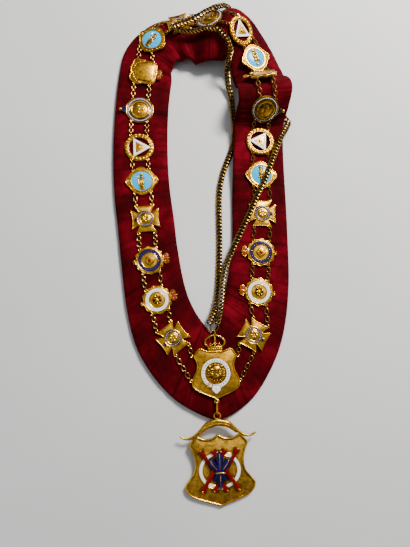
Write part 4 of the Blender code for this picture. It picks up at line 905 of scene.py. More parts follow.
def anticlockwise(outline):
    """The outline in anticlockwise order."""
    area = sum(a[0] * b[1] - b[0] * a[1] for a, b in zip(outline, [*outline[1:], outline[0]]))
    return list(outline) if area > 0 else list(reversed(outline))


def softened(outline, cut=0.18):
    """The outline with every corner cut a little."""
    made = []
    for index, here in enumerate(outline):
        there = outline[(index + 1) % len(outline)]
        for share in (cut, 1 - cut):
            made.append(tuple(a + (b - a) * share for a, b in zip(here, there)))
    return made


def rings(look, outline, steps, capped):
    """A solid through copies of the outline: how far each lies inside it, and how high."""
    return look, *stack([at_height(inset(outline, inner), height) for inner, height in steps], capped)


def slab(look, outline, bottom, top, edge=EDGE):
    """A plate with upright sides and a rounded upper edge."""
    steps = ((0, bottom), (0, top - edge), (edge * 0.3, top - edge * 0.3), (edge, top))
    return rings(look, anticlockwise(outline), steps, True)


def rim(look, outline, width, bottom, top):
    """A rounded raised edge that follows an outline on its inner side."""
    steps = ((1, 0), (0, 0), (0, 0.6), (0.2, 0.92), (0.5, 1), (0.8, 0.85), (1, 0.45))
    steps = [(width * inner, bottom + (top - bottom) * height) for inner, height in steps]
    return rings(look, anticlockwise(outline), steps, False)


def moulding(look, radius, half, bottom, rise, centre=(0, 0), sides=48):
    """A round ring with an arched top."""
    steps = ((-1, 0), (1, 0), (1, 0.55), (0.72, 0.88), (0, 1), (-0.72, 0.88), (-1, 0.55))
    loops = [at_height(circle(radius + half * x, sides, centre), bottom + rise * z) for x, z in steps]
    return look, *stack(loops, capped=False)


def boss(look, centre, reach, bottom, rise, turn=0.0, sides=12):
    """A rounded boss: round, or oval with its long axis turned."""
    long, wide = pair(reach)
    cos, sin = math.cos(turn), math.sin(turn)
    loops = []
    for share, height in ((1, -0.3), (1, 0.12), (0.90, 0.46), (0.68, 0.76), (0.36, 0.95), (0.08, 1)):
        oval = circle((share * long, share * wide), sides)
        ring = [(centre[0] + x * cos - y * sin, centre[1] + x * sin + y * cos) for x, y in oval]
        loops.append(at_height(ring, bottom + rise * height))
    return look, *stack(loops)


def studs(look, count, radius, reach, bottom, rise, turn=0.0, sides=8, **way):
    """Bosses set evenly round a circle or an oval, each turned from the way out."""
    return [
        boss(look, place, reach, bottom, rise, angle + turn, sides)
        for angle, place in around(count, radius, **way)
    ]


def relief(look, rows, bottom, rise, sides):
    """Bosses from rows in mm: across, up, long, wide and, where it isn't 0, the turn."""
    made = []
    for x, y, long, wide, *turn in rows:
        place, reach = (x / 1000, y / 1000), (long / 1000, wide / 1000)
        made.append(boss(look, place, reach, bottom, rise, sum(turn), sides))
    return made


def bead_ring(look, radius, count, size, bottom, rise, long=1.0):
    """Beads set evenly round a circle, long along the circle."""
    return studs(look, count, radius, (size * long, size), bottom, rise, math.pi / 2)


def hoop(centre, side, up, radius, sides):
    """Points round a centre in the plane of two directions."""
    return [centre + (side * x + up * y) * radius for _, (x, y) in around(sides, 1)]


def rod(look, points, radii, sides=8):
    """A round bar with rounded ends along a route, with one radius or one for each point."""
    points = [Vector(point) for point in points]
    radii = [radii] * len(points) if isinstance(radii, float) else list(radii)
    first_way = (points[1] - points[0]).normalized() * radii[0]
    last_way = (points[-1] - points[-2]).normalized() * radii[-1]
    ends = ((0.9, 0.2), (0.6, 0.75))
    stations = [(points[0] - first_way * out, radii[0] * share) for out, share in ends]
    stations += zip(points, radii)
    stations += [(points[-1] + last_way * out, radii[-1] * share) for out, share in reversed(ends)]
    side = None
    loops = []
    end = len(stations) - 1
    for index, (point, radius) in enumerate(stations):
        along = (stations[min(index + 1, end)][0] - stations[max(index - 1, 0)][0]).normalized()
        side = along.orthogonal() if side is None else side - along * side.dot(along)
        side = side.normalized()
        loops.append(hoop(point, side, along.cross(side), radius, sides))
    return look, *stack(loops)


def link(look, centre, along, across, half_length, half_width, wire, twist=0.0, sides=20, wire_sides=8):
    """A closed oval link in the plane of two directions, with its ends turned apart by a twist."""
    centre, along, across = Vector(centre), Vector(along).normalized(), Vector(across)
    across = (across - along * along.dot(across)).normalized()
    normal = along.cross(across)
    straight = max(half_length - half_width, 0.0)
    places = []
    for index in range(sides):
        angle = math.tau * (index + 0.5) / sides
        x = half_width * math.cos(angle) + math.copysign(straight, math.cos(angle))
        y = half_width * math.sin(angle)
        turn = math.radians(twist) * x / half_length
        places.append(centre + along * x + across * y * math.cos(turn) + normal * y * math.sin(turn))
    loops = []
    for index, place in enumerate(places):
        way = (places[(index + 1) % sides] - places[index - 1]).normalized()
        out = (place - centre).normalized()
        side = (out - way * way.dot(out)).normalized()
        loops.append(hoop(place, side, way.cross(side), wire, wire_sides))
    return look, *stack(loops, capped=False)


def eye(place):
    """A flat ring that a short chain hangs in."""
    radius = EYE_RADIUS - EYE_WIRE
    return link("gilt", place, (1, 0, 0), (0, 1, 0), radius, radius, EYE_WIRE, sides=16)


def moved(shells, matrix):
    """The shells moved by a matrix."""
    return [(look, [matrix @ Vector(point) for point in points], faces) for look, points, faces in shells]


def make_pieces(node, shells, looks, shift):
    """One object for each of the record's slots that the shells use; the gilt or first one
    stands for the CAD node."""
    groups = {}
    for item in shells:
        groups.setdefault(SLOTS[item[0]], []).append(item)
    main = "gilt_metal" if "gilt_metal" in groups else next(iter(groups))
    for slot, members in groups.items():
        names = sorted({look for look, _, _ in members})
        vertices, faces, marks = [], [], []
        for look, points, item_faces in members:
            first = len(vertices)
            vertices += [tuple(shift @ Vector(point)) for point in points]
            faces += [[first + index for index in face] for face in item_faces]
            marks += [names.index(look)] * len(item_faces)
        obj = add_object(f"{node}_dressed" + ("" if slot == main else f"_{slot}"), vertices, faces)
        for look in names:
            obj.data.materials.append(looks[look])
        obj.data.polygons.foreach_set("material_index", marks)
        obj.data.shade_smooth()
        obj.data.set_sharp_from_angle(angle=math.radians(SHARP_ANGLE))
        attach(obj, "root")
        if slot == main:
            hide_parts(node)


# ---- Plaques ----


def cross_curve():
    """Four broad arms with hollow ends and narrow curved notches between them."""
    end = CROSS_SIZE / 2
    half = 0.72 * end
    notch = CROSS_MEDAL_RADIUS * 0.98 * math.sqrt(0.5)
    arm = [(end - end * 0.07 * (1 - (y / 3) ** 2), half * y / 3) for y in range(-3, 4)]
    flank = []
    for share in (0.33, 0.66):
        bow = 0.0005 * math.sin(math.pi * share)
        flank.append((end + (notch - end) * share - bow, half + (notch - half) * share - bow))
    arm += [*flank, (notch, notch), *[(y, x) for x, y in reversed(flank)]]
    turns = [Matrix.Rotation(quarter * math.pi / 2, 2) for quarter in range(4)]
    return [tuple(turn @ Vector(point)) for turn in turns for point in arm]


def enamel_ring(look, outer, inner, bottom, centre=(0, 0)):
    """A ring of enamel between two gilt lines."""
    middle, half = (outer + inner) / 2, (outer - inner) / 2
    return [
        moulding(look, middle, half, bottom, ENAMEL_RISE, centre),
        moulding("gilt", outer, LINE_WIDTH, bottom, LINE_RISE, centre),
        moulding("gilt", inner, LINE_WIDTH, bottom, LINE_RISE, centre),
    ]


def flower(look, radius, petals, bottom, rise, centre=(0, 0)):
    """A round flower: petals about a bead."""
    petal = (radius * 0.42, radius * 0.26)
    made = studs(look, petals, radius * 0.58, petal, bottom, rise * 0.75, 0.0, 10, centre=centre)
    return made + [boss(look, centre, radius * 0.26, bottom, rise, sides=10)]


def bordered(look, outline, bottom, top, line=0.0006):
    """An enamelled plate in a gilt line."""
    return [slab(look, outline, bottom, top), rim("gilt", outline, line, bottom, top + EDGE)]


def keystone(outline, bottom, top):
    """A small blue plate in a gilt line."""
    return bordered("blue", outline, bottom, top, LINE_WIDTH * 1.6)


def plate(outline, width, height, look="satin"):
    """A plaque's plate with a raised edge."""
    edge = rim("gilt", outline, width, PLATE_SUNK, PLATE_THICKNESS + RELIEF * height)
    return [slab(look, outline, 0, PLATE_THICKNESS), edge]


def cross_shells():
    """A cross pattee with a round medal and a keystone on the outer arm."""
    top = PLATE_THICKNESS + RELIEF * 0.5
    medal = CROSS_MEDAL_RADIUS
    stone = [(-0.0018, 0.0086), (0.0018, 0.0086), (0.0026, 0.0126), (-0.0026, 0.0126)]
    return [
        *plate(cross_curve(), 0.0013, 0.5),
        slab("gilt", circle(medal, 48), PLATE_SUNK, top),
        *enamel_ring("blue", medal * 0.95, medal * 0.66, top - SEAT),
        *bead_ring("white", medal * 0.805, 24, 0.00036, top + ENAMEL_RISE * 0.3, 0.0004, 1.5),
        boss("antique", (0, 0), medal * 0.60, top - SEAT, RELIEF * 0.9, sides=24),
        *flower("gilt", medal * 0.52, 6, top + RELIEF * 0.15, RELIEF * 0.75),
        *keystone(stone, PLATE_SUNK, top * 0.97),
    ]


def wreath_shells():
    """A wreath of leaves round an enamelled triangle, pierced between them."""
    top = PLATE_THICKNESS + RELIEF * 0.3
    middle = (WREATH_RADIUS + WREATH_HOLE_RADIUS) / 2
    half = (WREATH_RADIUS - WREATH_HOLE_RADIUS) / 2
    line = 0.0027
    corners = circle(WREATH_HOLE_RADIUS + 0.0012, 3, start=-math.pi / 2)
    shells = [
        moulding("satin", middle, half, 0, top * 0.95),
        moulding("gilt", WREATH_HOLE_RADIUS + 0.0004, 0.0005, top * 0.5, RELIEF * 0.9),
        slab("satin", corners, SEAT, PLATE_THICKNESS * 0.75),
        rim("white", corners, line, PLATE_THICKNESS * 0.5, PLATE_THICKNESS + RELIEF * 0.2),
        slab("satin", inset(corners, line), PLATE_THICKNESS * 0.5, PLATE_THICKNESS),
        boss("gilt", (0, 0), 0.0019, PLATE_THICKNESS, RELIEF * 0.9, sides=16),
        *bead_ring("gilt", 0.0029, 6, 0.0005, PLATE_THICKNESS, RELIEF * 0.4),
    ]
    for row, lean in ((0.34, 0.55), (-0.34, -0.55)):
        turn = math.pi / 2 + lean
        shells += studs("gilt", 22, middle + half * row, (0.0023, 0.0010), top * 0.86, RELIEF * 0.85, turn)
    return shells


def quatrefoil_curve(grow=0.0):
    """A round plate with a lobe on each side and smaller ones towards its neighbours."""

    def reach(angle):
        lobe = max(math.cos(4 * angle), 0.0)
        side = 1.0 if abs(math.sin(angle)) > 0.7 else 0.45
        return QUATREFOIL_RADIUS + grow + QUATREFOIL_LOBE * side * lobe

    return polar(reach, 72)


def quatrefoil_shells():
    """A lobed gilt plate with a sky-blue field and an upright robed figure across it."""
    field = QUATREFOIL_ENAMEL_RADIUS
    top = PLATE_THICKNESS + RELIEF * 0.2
    shells = [
        *plate(quatrefoil_curve(), 0.0012, 0.55),
        moulding("gilt", field + 0.0007, 0.0008, PLATE_SUNK, RELIEF * 1.2),
        slab("turquoise", circle(field, 64), PLATE_SUNK, top),
        *bead_ring("gilt", field + 0.0025, 30, 0.0007, PLATE_SUNK, RELIEF * 0.8, 1.25),
        boss("gilt", (0.0076, 0), 0.0014, top + RELIEF * 0.5, RELIEF * 0.8, sides=14),
        rod("gilt", [(-field * 0.8, 0.0030, top), (field * 0.72, 0.0044, top)], 0.0006, 10),
    ]
    for side in (-1, 1):
        place = (0, side * (QUATREFOIL_RADIUS + 0.0003))
        shells += flower("gilt", 0.0023, 5, PLATE_THICKNESS, RELIEF * 0.7, place)
    body = ((-9.4, 0, 1.8, 3.4), (-6.4, 0, 2.4, 2.6), (-2.6, 0, 3.2, 3.3))
    body += ((1.6, 0, 3.0, 3.0), (4.8, 0, 1.8, 1.7), (7.4, 0, 2.0, 2.2))
    folds = ((-2.4, -1.5, 4.4, 0.55, 0.12), (-2.6, 0.2, 4.8, 0.55), (-2.2, 1.7, 4.2, 0.55, -0.12))
    folds += ((2.8, 2.4, 2.2, 0.55, 0.9), (2.6, -2.3, 2.0, 0.55, -0.8))
    shells += relief("antique", body, top - SEAT, RELIEF * 1.1, 14)
    return shells + relief("gilt", folds, top + RELIEF * 0.55, RELIEF * 0.75, 10)


def garter_shells():
    """A belt round a high dome, with an enamelled keystone and a bead on the outer side."""
    outer, inner = GARTER_RADIUS, GARTER_DOME_RADIUS
    tip = outer + GARTER_TAB_REACH * 0.62
    top = PLATE_THICKNESS
    studded = (outer + inner + 0.0005) / 2
    bead = (0, tip + GARTER_TAB_REACH * 0.12)
    stone = [(-0.0070, 0.0135), (0.0070, 0.0135), (0.0012, tip), (-0.0012, tip)]
    shells = [
        slab("satin", circle(outer, 64), 0, PLATE_SUNK),
        *keystone(stone, SEAT, top),
        *enamel_ring("blue", outer - LINE_WIDTH, inner + 0.0008, top - SEAT * 1.5),
        *bead_ring("white", studded, 40, 0.00052, top + ENAMEL_RISE * 0.25, 0.0005, 1.9),
        boss("antique", (0, 0), inner, PLATE_SUNK, RELIEF * 2.4, sides=40),
        moulding("gilt", inner * 0.90, 0.0010, top, RELIEF * 1.8),
        boss("gilt", bead, GARTER_TAB_REACH * 0.22, SEAT, top, sides=14),
    ]
    face = ((-3.6, 1.6, 2.6, 1.7, 0.5), (3.4, 2.2, 2.4, 1.5, -0.7))
    face += ((0.2, -3.6, 3.0, 1.6, 0.1), (0, 0.8, 1.8, 1.8))
    return shells + relief("gilt", face, top + RELIEF * 1.25, RELIEF * 1.15, 14)


def small_crown(base):
    """An openwork enamelled crown that points to the inner edge from the line y = base."""
    half, reach = ORNAMENT_WIDTH / 2, ORNAMENT_REACH
    low, high = SEAT, PLATE_THICKNESS + SEAT

    def places(points, *height):
        return [(x * half, base - y * reach, *height) for x, y in points]

    band = places(((-0.52, -0.05), (0.52, -0.05), (0.62, 0.22), (-0.62, 0.22)))
    lining = ((-0.55, 0.15), (0.55, 0.15), (0.86, 0.42), (0.72, 0.66), (0.3, 0.74), (0, 0.62))
    lining += ((-0.3, 0.74), (-0.72, 0.66), (-0.86, 0.42))
    middle = places(((0, 0.2), (0, 0.5), (0, 0.8)), high * 0.66)
    shells = [
        slab("gilt", band, low, high),
        slab("pink", places(lining), low, high * 0.72),
        rod("gilt", middle, 0.0005),
        boss("gilt", *places([(0, 0.87)]), reach * 0.10, high * 0.25, high * 0.75),
    ]
    arch = ((0.58, 0.18), (0.93, 0.40), (0.86, 0.64), (0.50, 0.78), (0.16, 0.70), (0.0, 0.52))
    for side in (-1, 1):
        shells.append(rod("gilt", places([(side * x, y) for x, y in arch], high * 0.62), 0.00055))
        pearl = places([(side * 0.42, 0.40)])[0]
        shells.append(boss("gilt", pearl, 0.00075, high * 0.6, RELIEF * 0.6, sides=10))
    for place in places((x, 0.10) for x in (-0.36, -0.12, 0.12, 0.36)):
        shells.append(boss("gilt", place, 0.00055, high - EDGE, 0.0005, sides=8))
    return shells


def rosette_base(look):
    """A scalloped plate with scrolls at its edge, a ring of enamel, and a crown inside."""
    outline = polar(lambda angle: ROSETTE_RADIUS + ROSETTE_SCALLOP * math.cos(12 * angle), 72)
    return [
        *plate(outline, 0.0011, 0.4),
        *bead_ring("gilt", ROSETTE_RADIUS - 0.0013, 24, 0.0008, PLATE_SUNK, RELIEF * 0.9, 1.3),
        *enamel_ring(look, ROSETTE_RING_RADIUS + 0.0004, ROSETTE_HOLE_RADIUS, PLATE_THICKNESS - SEAT * 0.4),
        # A dark boss fills the hole inside the enamel ring: painted shade for the recess there.
        boss("shade", (0, 0), ROSETTE_HOLE_RADIUS * 0.97, PLATE_SUNK, RELIEF * 0.45, sides=32),
        *small_crown(-ROSETTE_RADIUS + 0.0015),
    ]


def white_rosette_shells():
    """The white rosette: a spray of leaves in its middle and a scroll outside."""
    top = PLATE_THICKNESS + RELIEF * 0.3
    radius = (ROSETTE_RING_RADIUS + ROSETTE_HOLE_RADIUS) / 2
    shells = [
        *rosette_base("white"),
        *studs("antique", 26, radius, (0.0006, 0.00034), PLATE_THICKNESS + ENAMEL_RISE * 0.5, 0.0004),
        *studs("gilt", 7, (0.0044, 0.0032), (0.0025, 0.0008), top, RELIEF * 0.9, 0.35, 10, start=0.2),
        boss("gilt", (0, 0), (0.0031, 0.0018), top, RELIEF * 1.3, 0.4, 14),
    ]
    for x, size in ((-0.0016, 0.0012), (0.0016, 0.0012), (0, 0.0015)):
        place = (x, ROSETTE_RADIUS + 0.0010 + size * 0.4)
        shells.append(boss("gilt", place, size, SEAT, PLATE_THICKNESS, sides=10))
    return shells


def blue_rosette_shells():
    """The blue rosette: a red and gilt medal in its middle and three short plumes outside."""
    top = PLATE_THICKNESS + RELIEF * 0.35
    radius = (ROSETTE_RING_RADIUS + ROSETTE_HOLE_RADIUS) / 2
    lozenge = [(0.0064, 0), (0, 0.0058), (-0.0064, 0), (0, -0.0058)]
    shells = [
        *rosette_base("blue"),
        *bead_ring("gilt", radius, 22, 0.0004, PLATE_THICKNESS + ENAMEL_RISE * 0.3, 0.0004, 1.6),
        slab("gilt", lozenge, top - SEAT, top + RELIEF * 0.7),
        boss("red", (0, 0), 0.0022, top + RELIEF * 0.5, RELIEF * 0.7, sides=16),
        *bead_ring("gilt", 0.0031, 8, 0.0005, top + RELIEF * 0.6, 0.0004),
    ]
    for lean in (-0.55, 0, 0.55):
        place = (math.sin(lean) * 0.0026, ROSETTE_RADIUS + 0.0010 * math.cos(lean))
        shells.append(boss("gilt", place, (0.0024, 0.0010), SEAT, PLATE_THICKNESS, math.pi / 2 - lean, 10))
    return shells


def cartouche_curve():
    """A shield-shaped plate with a scrolled edge on the outer side."""

    def reach(angle):
        x = math.cos(angle) / (CARTOUCHE_LENGTH / 2)
        y = math.sin(angle) / (CARTOUCHE_WIDTH / 2)
        box = 1 / (abs(x) ** 4 + abs(y) ** 4) ** 0.25
        scroll = 0.035 * math.cos(9 * angle) if math.sin(angle) > 0 else 0.0
        waist = -0.10 * max(math.cos(2 * angle), 0.0) if math.sin(angle) < 0 else 0.0
        return box * (1 + scroll + waist)

    return polar(reach, 84)


def cartouche_shells():
    """A scrolled frame round a plain shield, with a crown on the inner side."""
    top = PLATE_THICKNESS + RELIEF * 0.8
    long, wide = CARTOUCHE_LENGTH * 0.34, CARTOUCHE_WIDTH * 0.36
    face = ((-1, -1), (1, -1), (0.97, 0), (0.88, 0.62), (0.5, 0.86))
    face += ((0, 1), (-0.5, 0.86), (-0.88, 0.62), (-0.97, 0))
    face = softened([(x * long, y * wide) for x, y in face], 0.12)
    scrolls = (CARTOUCHE_LENGTH * 0.44, CARTOUCHE_WIDTH * 0.42)
    upper = {"start": math.pi / 30, "sweep": math.pi}
    return [
        *plate(cartouche_curve(), 0.0013, 0.7, "antique"),
        slab("satin", face, PLATE_SUNK, top),
        rim("gilt", face, 0.0009, PLATE_THICKNESS, top + RELIEF * 0.25),
        *small_crown(-CARTOUCHE_WIDTH / 2 + 0.0015),
        *studs("gilt", 15, scrolls, (0.0019, 0.0011), PLATE_SUNK, RELIEF * 1.1, 0.9, 10, **upper),
    ]


SHELLS = {
    "cross": cross_shells,
    "wreath": wreath_shells,
    "quatrefoil": quatrefoil_shells,
    "garter": garter_shells,
    "white_rosette": white_rosette_shells,
    "blue_rosette": blue_rosette_shells,
    "cartouche": cartouche_shells,
}


# ---- Chains ----


def strand_shells(start, end, normal, tree):
    """A short chain of upright and flat links between two flat eyes, over the cloth."""
    points = []
    for step in range(STRAND_STEPS + 1):
        point = start.lerp(end, step / STRAND_STEPS)
        hit = tree.ray_cast(point + normal * STRAND_PROBE, -normal, 2.5 * STRAND_PROBE)[0]
        if hit is not None:
            short = STRAND_RADIUS * 1.25 + GAP - (point - hit).dot(normal)
            point = point + normal * max(short, 0.0)
        points.append(point)
    lengths = way_lengths(points)
    whole = lengths[-1]
    count = 2 * max(round((whole / LINK_SPACING - 1) / 2), 1) + 1
    hang = EYE_RADIUS - EYE_WIRE * 2 - UPRIGHT_LINK_WIRE
    overlap = UPRIGHT_LINK_WIRE + FLAT_LINK_WIRE
    flats = count // 2
    upright_length = (whole - 2 * hang + (count - 1) * overlap) / (count - flats + flats * FLAT_LINK_SHARE)
    shapes = (
        # length, reach, wire
        (upright_length, UPRIGHT_LINK_REACH, UPRIGHT_LINK_WIRE),
        (upright_length * FLAT_LINK_SHARE, FLAT_LINK_REACH, FLAT_LINK_WIRE),
    )
    near = hang
    shells = []
    for index in range(count):
        link_length, reach, wire = shapes[index % 2]
        a, b = [way_place(points, lengths, place) for place in (near, near + link_length)]
        near += link_length - overlap
        along = b - a
        across = along.cross(normal) if index % 2 else normal
        half = max(along.length / 2, reach * 0.9)
        shells.append(link("brass", (a + b) / 2, along, across, half, reach, wire))
    return shells


def eye_shells(reach):
    """The four flat rings at a plaque's ends, on its own axes."""
    half = STRAND_SPREAD / 2
    return [eye((x, y, STRAND_RADIUS)) for x in (-reach, reach) for y in (-half, half)]


def curb_shells(points):
    """The curb chain's links along its middle line."""
    lengths = way_lengths(points)
    whole = lengths[-1] + 2 * CURB_END_REACH
    count = round(whole / CURB_PITCH)
    pitch = whole / count
    size = (pitch / 2 + CURB_WIRE, CURB_WIDTH / 2 - CURB_WIRE * 1.05, CURB_WIRE)
    turn = Matrix.Rotation(math.radians(CURB_YAW), 3, "Z")
    shells = []
    for index in range(count + 1):
        before, place, after = [
            way_place(points, lengths, (index + off) * pitch - CURB_END_REACH) for off in (-0.5, 0, 0.5)
        ]
        along = after - before
        across = turn @ Vector((0, 0, 1)).cross(along)
        shells.append(link("brass", place, turn @ along, across, *size, CURB_TWIST, 18, 7))
    return shells


# ---- Centre shield and hanging shield ----


def shield_crown_shells(base):
    """The openwork crown: a jewelled band, arches with pearls, lilies, and an orb with a cross."""
    half, height = CROWN_WIDTH / 2, CROWN_HEIGHT
    wide = half * 0.68
    low, high = base - 0.0012, base + height * 0.28
    middle = SHIELD_PLATE * 0.6
    level = middle + SEAT
    band = [(-wide * 0.92, low), (wide * 0.92, low), (wide * 1.08, high), (-wide * 1.08, high)]
    stem, top = base + height * 0.9, base + height
    cross = [(-0.0007, stem), (0.0007, stem), (0.0009, top), (-0.0009, top)]
    shells = [
        slab("satin", band, SEAT, SHIELD_PLATE),
        rod("gilt", [(0, base + height * y, level) for y in (0.26, 0.5, 0.8)], CROWN_WIRE, 10),
        *flower("gilt", 0.0024, 6, SHIELD_PLATE * 0.8, 0.0012, (0, base + height * 0.42)),
        boss("gilt", (0, base + height * 0.86), 0.0019, SEAT, SHIELD_PLATE * 1.2, sides=16),
        slab("gilt", cross, SEAT, 2 * LOOP_RADIUS - SEAT),
    ]
    for share in (0.02, 0.25):
        reach, y = wide * (0.94 + share * 0.5), base + height * share
        bar = [(-reach, y, SHIELD_PLATE), (0, y - 0.0004, SHIELD_PLATE), (reach, y, SHIELD_PLATE)]
        shells.append(rod("gilt", bar, 0.0006))
    for index in range(-3, 4):
        place = (index * wide * 0.29, base + height * 0.135)
        reach = (0.0011, 0.0008) if index % 2 else (0.0009, 0.0012)
        shells.append(boss("gilt", place, reach, SHIELD_PLATE - EDGE, 0.0008, sides=10))
    arch = ((0.66, 0.26), (0.88, 0.37), (0.96, 0.49), (0.90, 0.62))
    arch += ((0.70, 0.73), (0.46, 0.81), (0.24, 0.86), (0.04, 0.88))
    for side in (-1, 1):
        route = [(side * x * half, base + y * height, level) for x, y in arch]
        shells.append(rod("gilt", route, CROWN_WIRE * 1.05, 10))
        for place in route[1:-1]:
            shells.append(boss("gilt", place[:2], 0.0007, middle + CROWN_WIRE, 0.0007, sides=8))
        x, y = side * 0.40 * half, base + height * 0.36
        shells += flower("gilt", 0.0021, 5, SHIELD_PLATE * 0.5, 0.0012, (x, y))
        shells.append(rod("gilt", [(x, y - 0.0030, middle), (x, y, middle)], 0.0007))
    return shells


def centre_shield_shells():
    """The centre shield with its rim, crown, loops and eyes."""
    outline = softened(anticlockwise(mirrored(SHIELD_EDGE, SHIELD_WIDTH, SHIELD_HEIGHT)))
    crown_base = SHIELD_HEIGHT * SHIELD_EDGE[0][1]
    top_loop = (0, crown_base + CROWN_HEIGHT + LOOP_RADIUS * 0.7, LOOP_RADIUS + LOOP_WIRE)
    foot_loop = (0, SEAT - LOOP_RADIUS, LINK_HEIGHT - SHIELD_BACK)
    size = (LOOP_RADIUS, LOOP_RADIUS, LOOP_WIRE)
    return [
        slab("satin", outline, 0, SHIELD_PLATE),
        rim("gilt", outline, RIM_WIDTH, SHIELD_PLATE - SEAT, SHIELD_PLATE + SHIELD_RIM),
        link("gilt", top_loop, (0, 1, 0), (0, 0, 1), *size),
        link("gilt", foot_loop, (0, 1, 0), (1, 0, 0), *size),
        *shield_crown_shells(crown_base),
        *[eye(place) for place in shield_eye_points(Matrix.Identity(4))],
    ]


def belt_shells():
    """The white belt with gilt edges, small studs, a buckle and a hanging tail."""
    centre = (0, SHIELD_HEIGHT * 0.50)
    low = SHIELD_PLATE - SEAT
    top = SHIELD_PLATE + GAP + BELT_THICKNESS
    rise = top - low
    foot = centre[1] - BELT_RADIUS
    parts = (BELT_TAIL, BELT_BUCKLE)
    tail, buckle = [[(x * BELT_RADIUS, foot + y * BELT_RADIUS) for x, y in part] for part in parts]
    middle, half = (BELT_RADIUS + BELT_HOLE_RADIUS) / 2, (BELT_RADIUS - BELT_HOLE_RADIUS) / 2
    shells = [
        moulding("white", middle, half, low, rise - EDGE, centre, 72),
        slab("white", tail, low, top + EDGE * 0.5),
        rim("gilt", tail, LINE_WIDTH * 1.5, low, top + EDGE * 1.5),
        rim("gilt", buckle, 0.0009, low, top + EDGE * 3),
    ]
    for radius in (BELT_RADIUS - LINE_WIDTH, BELT_HOLE_RADIUS + LINE_WIDTH):
        shells.append(moulding("gilt", radius, LINE_WIDTH * 1.1, low, rise + EDGE * 0.5, centre, 72))
    # The small dark studs are marks set round the white belt, in the same dark look as the painted recess
    # shade.
    studs_way = around(26, middle, centre, 0.42 - math.pi / 2, (math.tau - 0.95) * 26 / 25)
    for index, (angle, place) in enumerate(studs_way):
        long = 0.0011 if index % 3 else 0.0006
        shells.append(boss("shade", place, (long, 0.00045), top - EDGE * 1.2, 0.0004, angle, 8))
    for drop in (0.0010, 0.0030):
        shells.append(boss("antique", (0, foot + 0.0018 - drop), 0.0005, top, 0.0004, sides=8))
    return shells


def mask_shells():
    """A generic beast's mask in antique gilt: mane, brows, eyes, cheeks, muzzle and ears."""
    middle = SHIELD_HEIGHT * 0.50
    bottom = SHIELD_PLATE
    unit = MASK_RADIUS
    tuft = (unit * 0.19, unit * 0.10)
    shells = [
        slab("satin", circle(BELT_HOLE_RADIUS, 48, (0, middle)), bottom - SEAT, bottom + GAP),
        *studs("antique", 18, unit * 0.84, tuft, bottom, MASK_HEIGHT * 0.45, 0.25, centre=(0, middle)),
    ]
    parts = (
        # across, up, long, wide, turn, rise from, rise
        (0.0, 0.00, 0.80, 0.88, 0.0, 0.00, 0.66),
        (0.0, -0.34, 0.40, 0.34, 0.0, 0.40, 0.50),
        (0.0, -0.16, 0.17, 0.12, 0.0, 0.80, 0.20),
        (0.0, 0.26, 0.14, 0.34, 0.0, 0.46, 0.36),
        (0.38, 0.38, 0.30, 0.13, 0.35, 0.46, 0.30),
        (0.36, 0.16, 0.13, 0.10, 0.0, 0.50, 0.22),
        (0.40, -0.18, 0.24, 0.30, 0.3, 0.36, 0.32),
        (0.62, 0.66, 0.24, 0.20, 0.8, 0.10, 0.42),
    )
    for across, up, long, wide, turn, start, rise in parts:
        low, reach = bottom + MASK_HEIGHT * start, (long * unit, wide * unit)
        for side in (-1, 1) if across else (1,):
            place = (side * across * unit, middle + up * unit)
            shells.append(boss("antique", place, reach, low, MASK_HEIGHT * rise, side * turn, 16))
    return shells


def pendant_shells():
    """The hanging shield: stippled field, bright rim, textured horn bar and loop."""
    outline = softened(anticlockwise(mirrored(PENDANT_EDGE, PENDANT_WIDTH, PENDANT_HEIGHT)))
    half = HORN_SPAN / 2
    bar = [(-out, down, thick) for out, down, thick in reversed(HORN_BAR[1:])] + HORN_BAR
    marks = [(out * half, HORN_TOP - down * HORN_DROP, thick * HORN_RADIUS) for out, down, thick in bar]
    fine = smooth_route(marks, 49)
    route = [(point.x, point.y, HORN_RADIUS) for point in fine]
    fuller = [(point.x, point.y - point.z * HORN_SWELL, HORN_RADIUS) for point in fine[12:37]]
    reach = PENDANT_LOOP_RADIUS
    loop = HORN_TOP + HORN_RADIUS - SEAT + reach
    height = (LINK_HEIGHT - (loop + reach) * math.sin(PENDANT_TILT)) / math.cos(PENDANT_TILT)
    post = circle(LOOP_WIRE * 2, 16, (0, HORN_TOP + HORN_RADIUS * 0.8))
    shells = [
        slab("stippled", outline, 0, PENDANT_PLATE),
        rim("gilt", outline, RIM_WIDTH * 1.3, PENDANT_PLATE - SEAT, PENDANT_PLATE + PENDANT_RIM),
        rod("satin", route, [point.z * 0.96 for point in fine], 16),
        rod("satin", fuller, [point.z * 0.94 for point in fine[12:37]], 16),
        link("gilt", (0, loop, height), (0, 1, 0), (1, 0, 0), reach, reach, LOOP_WIRE, sides=28),
        slab("gilt", post, HORN_RADIUS, height + LOOP_WIRE * 0.7),
    ]
    scatter = random.Random(CREASE_SEED)
    for point in fine[13:36]:
        for _ in range(7):
            off = scatter.uniform(-1.3, 0.8)
            bulge = off if off > -0.3 else off + HORN_SWELL
            low = HORN_RADIUS + math.sqrt(max(1 - bulge * bulge, 0.0)) * point.z * 0.86
            place = (point.x + scatter.uniform(-0.0004, 0.0004), point.y + off * point.z * 0.9)
            mark = (scatter.uniform(0.0004, 0.0008), 0.0004)
            shells.append(boss("antique", place, mark, low, 0.0005, scatter.uniform(0, 3), 8))
    return shells


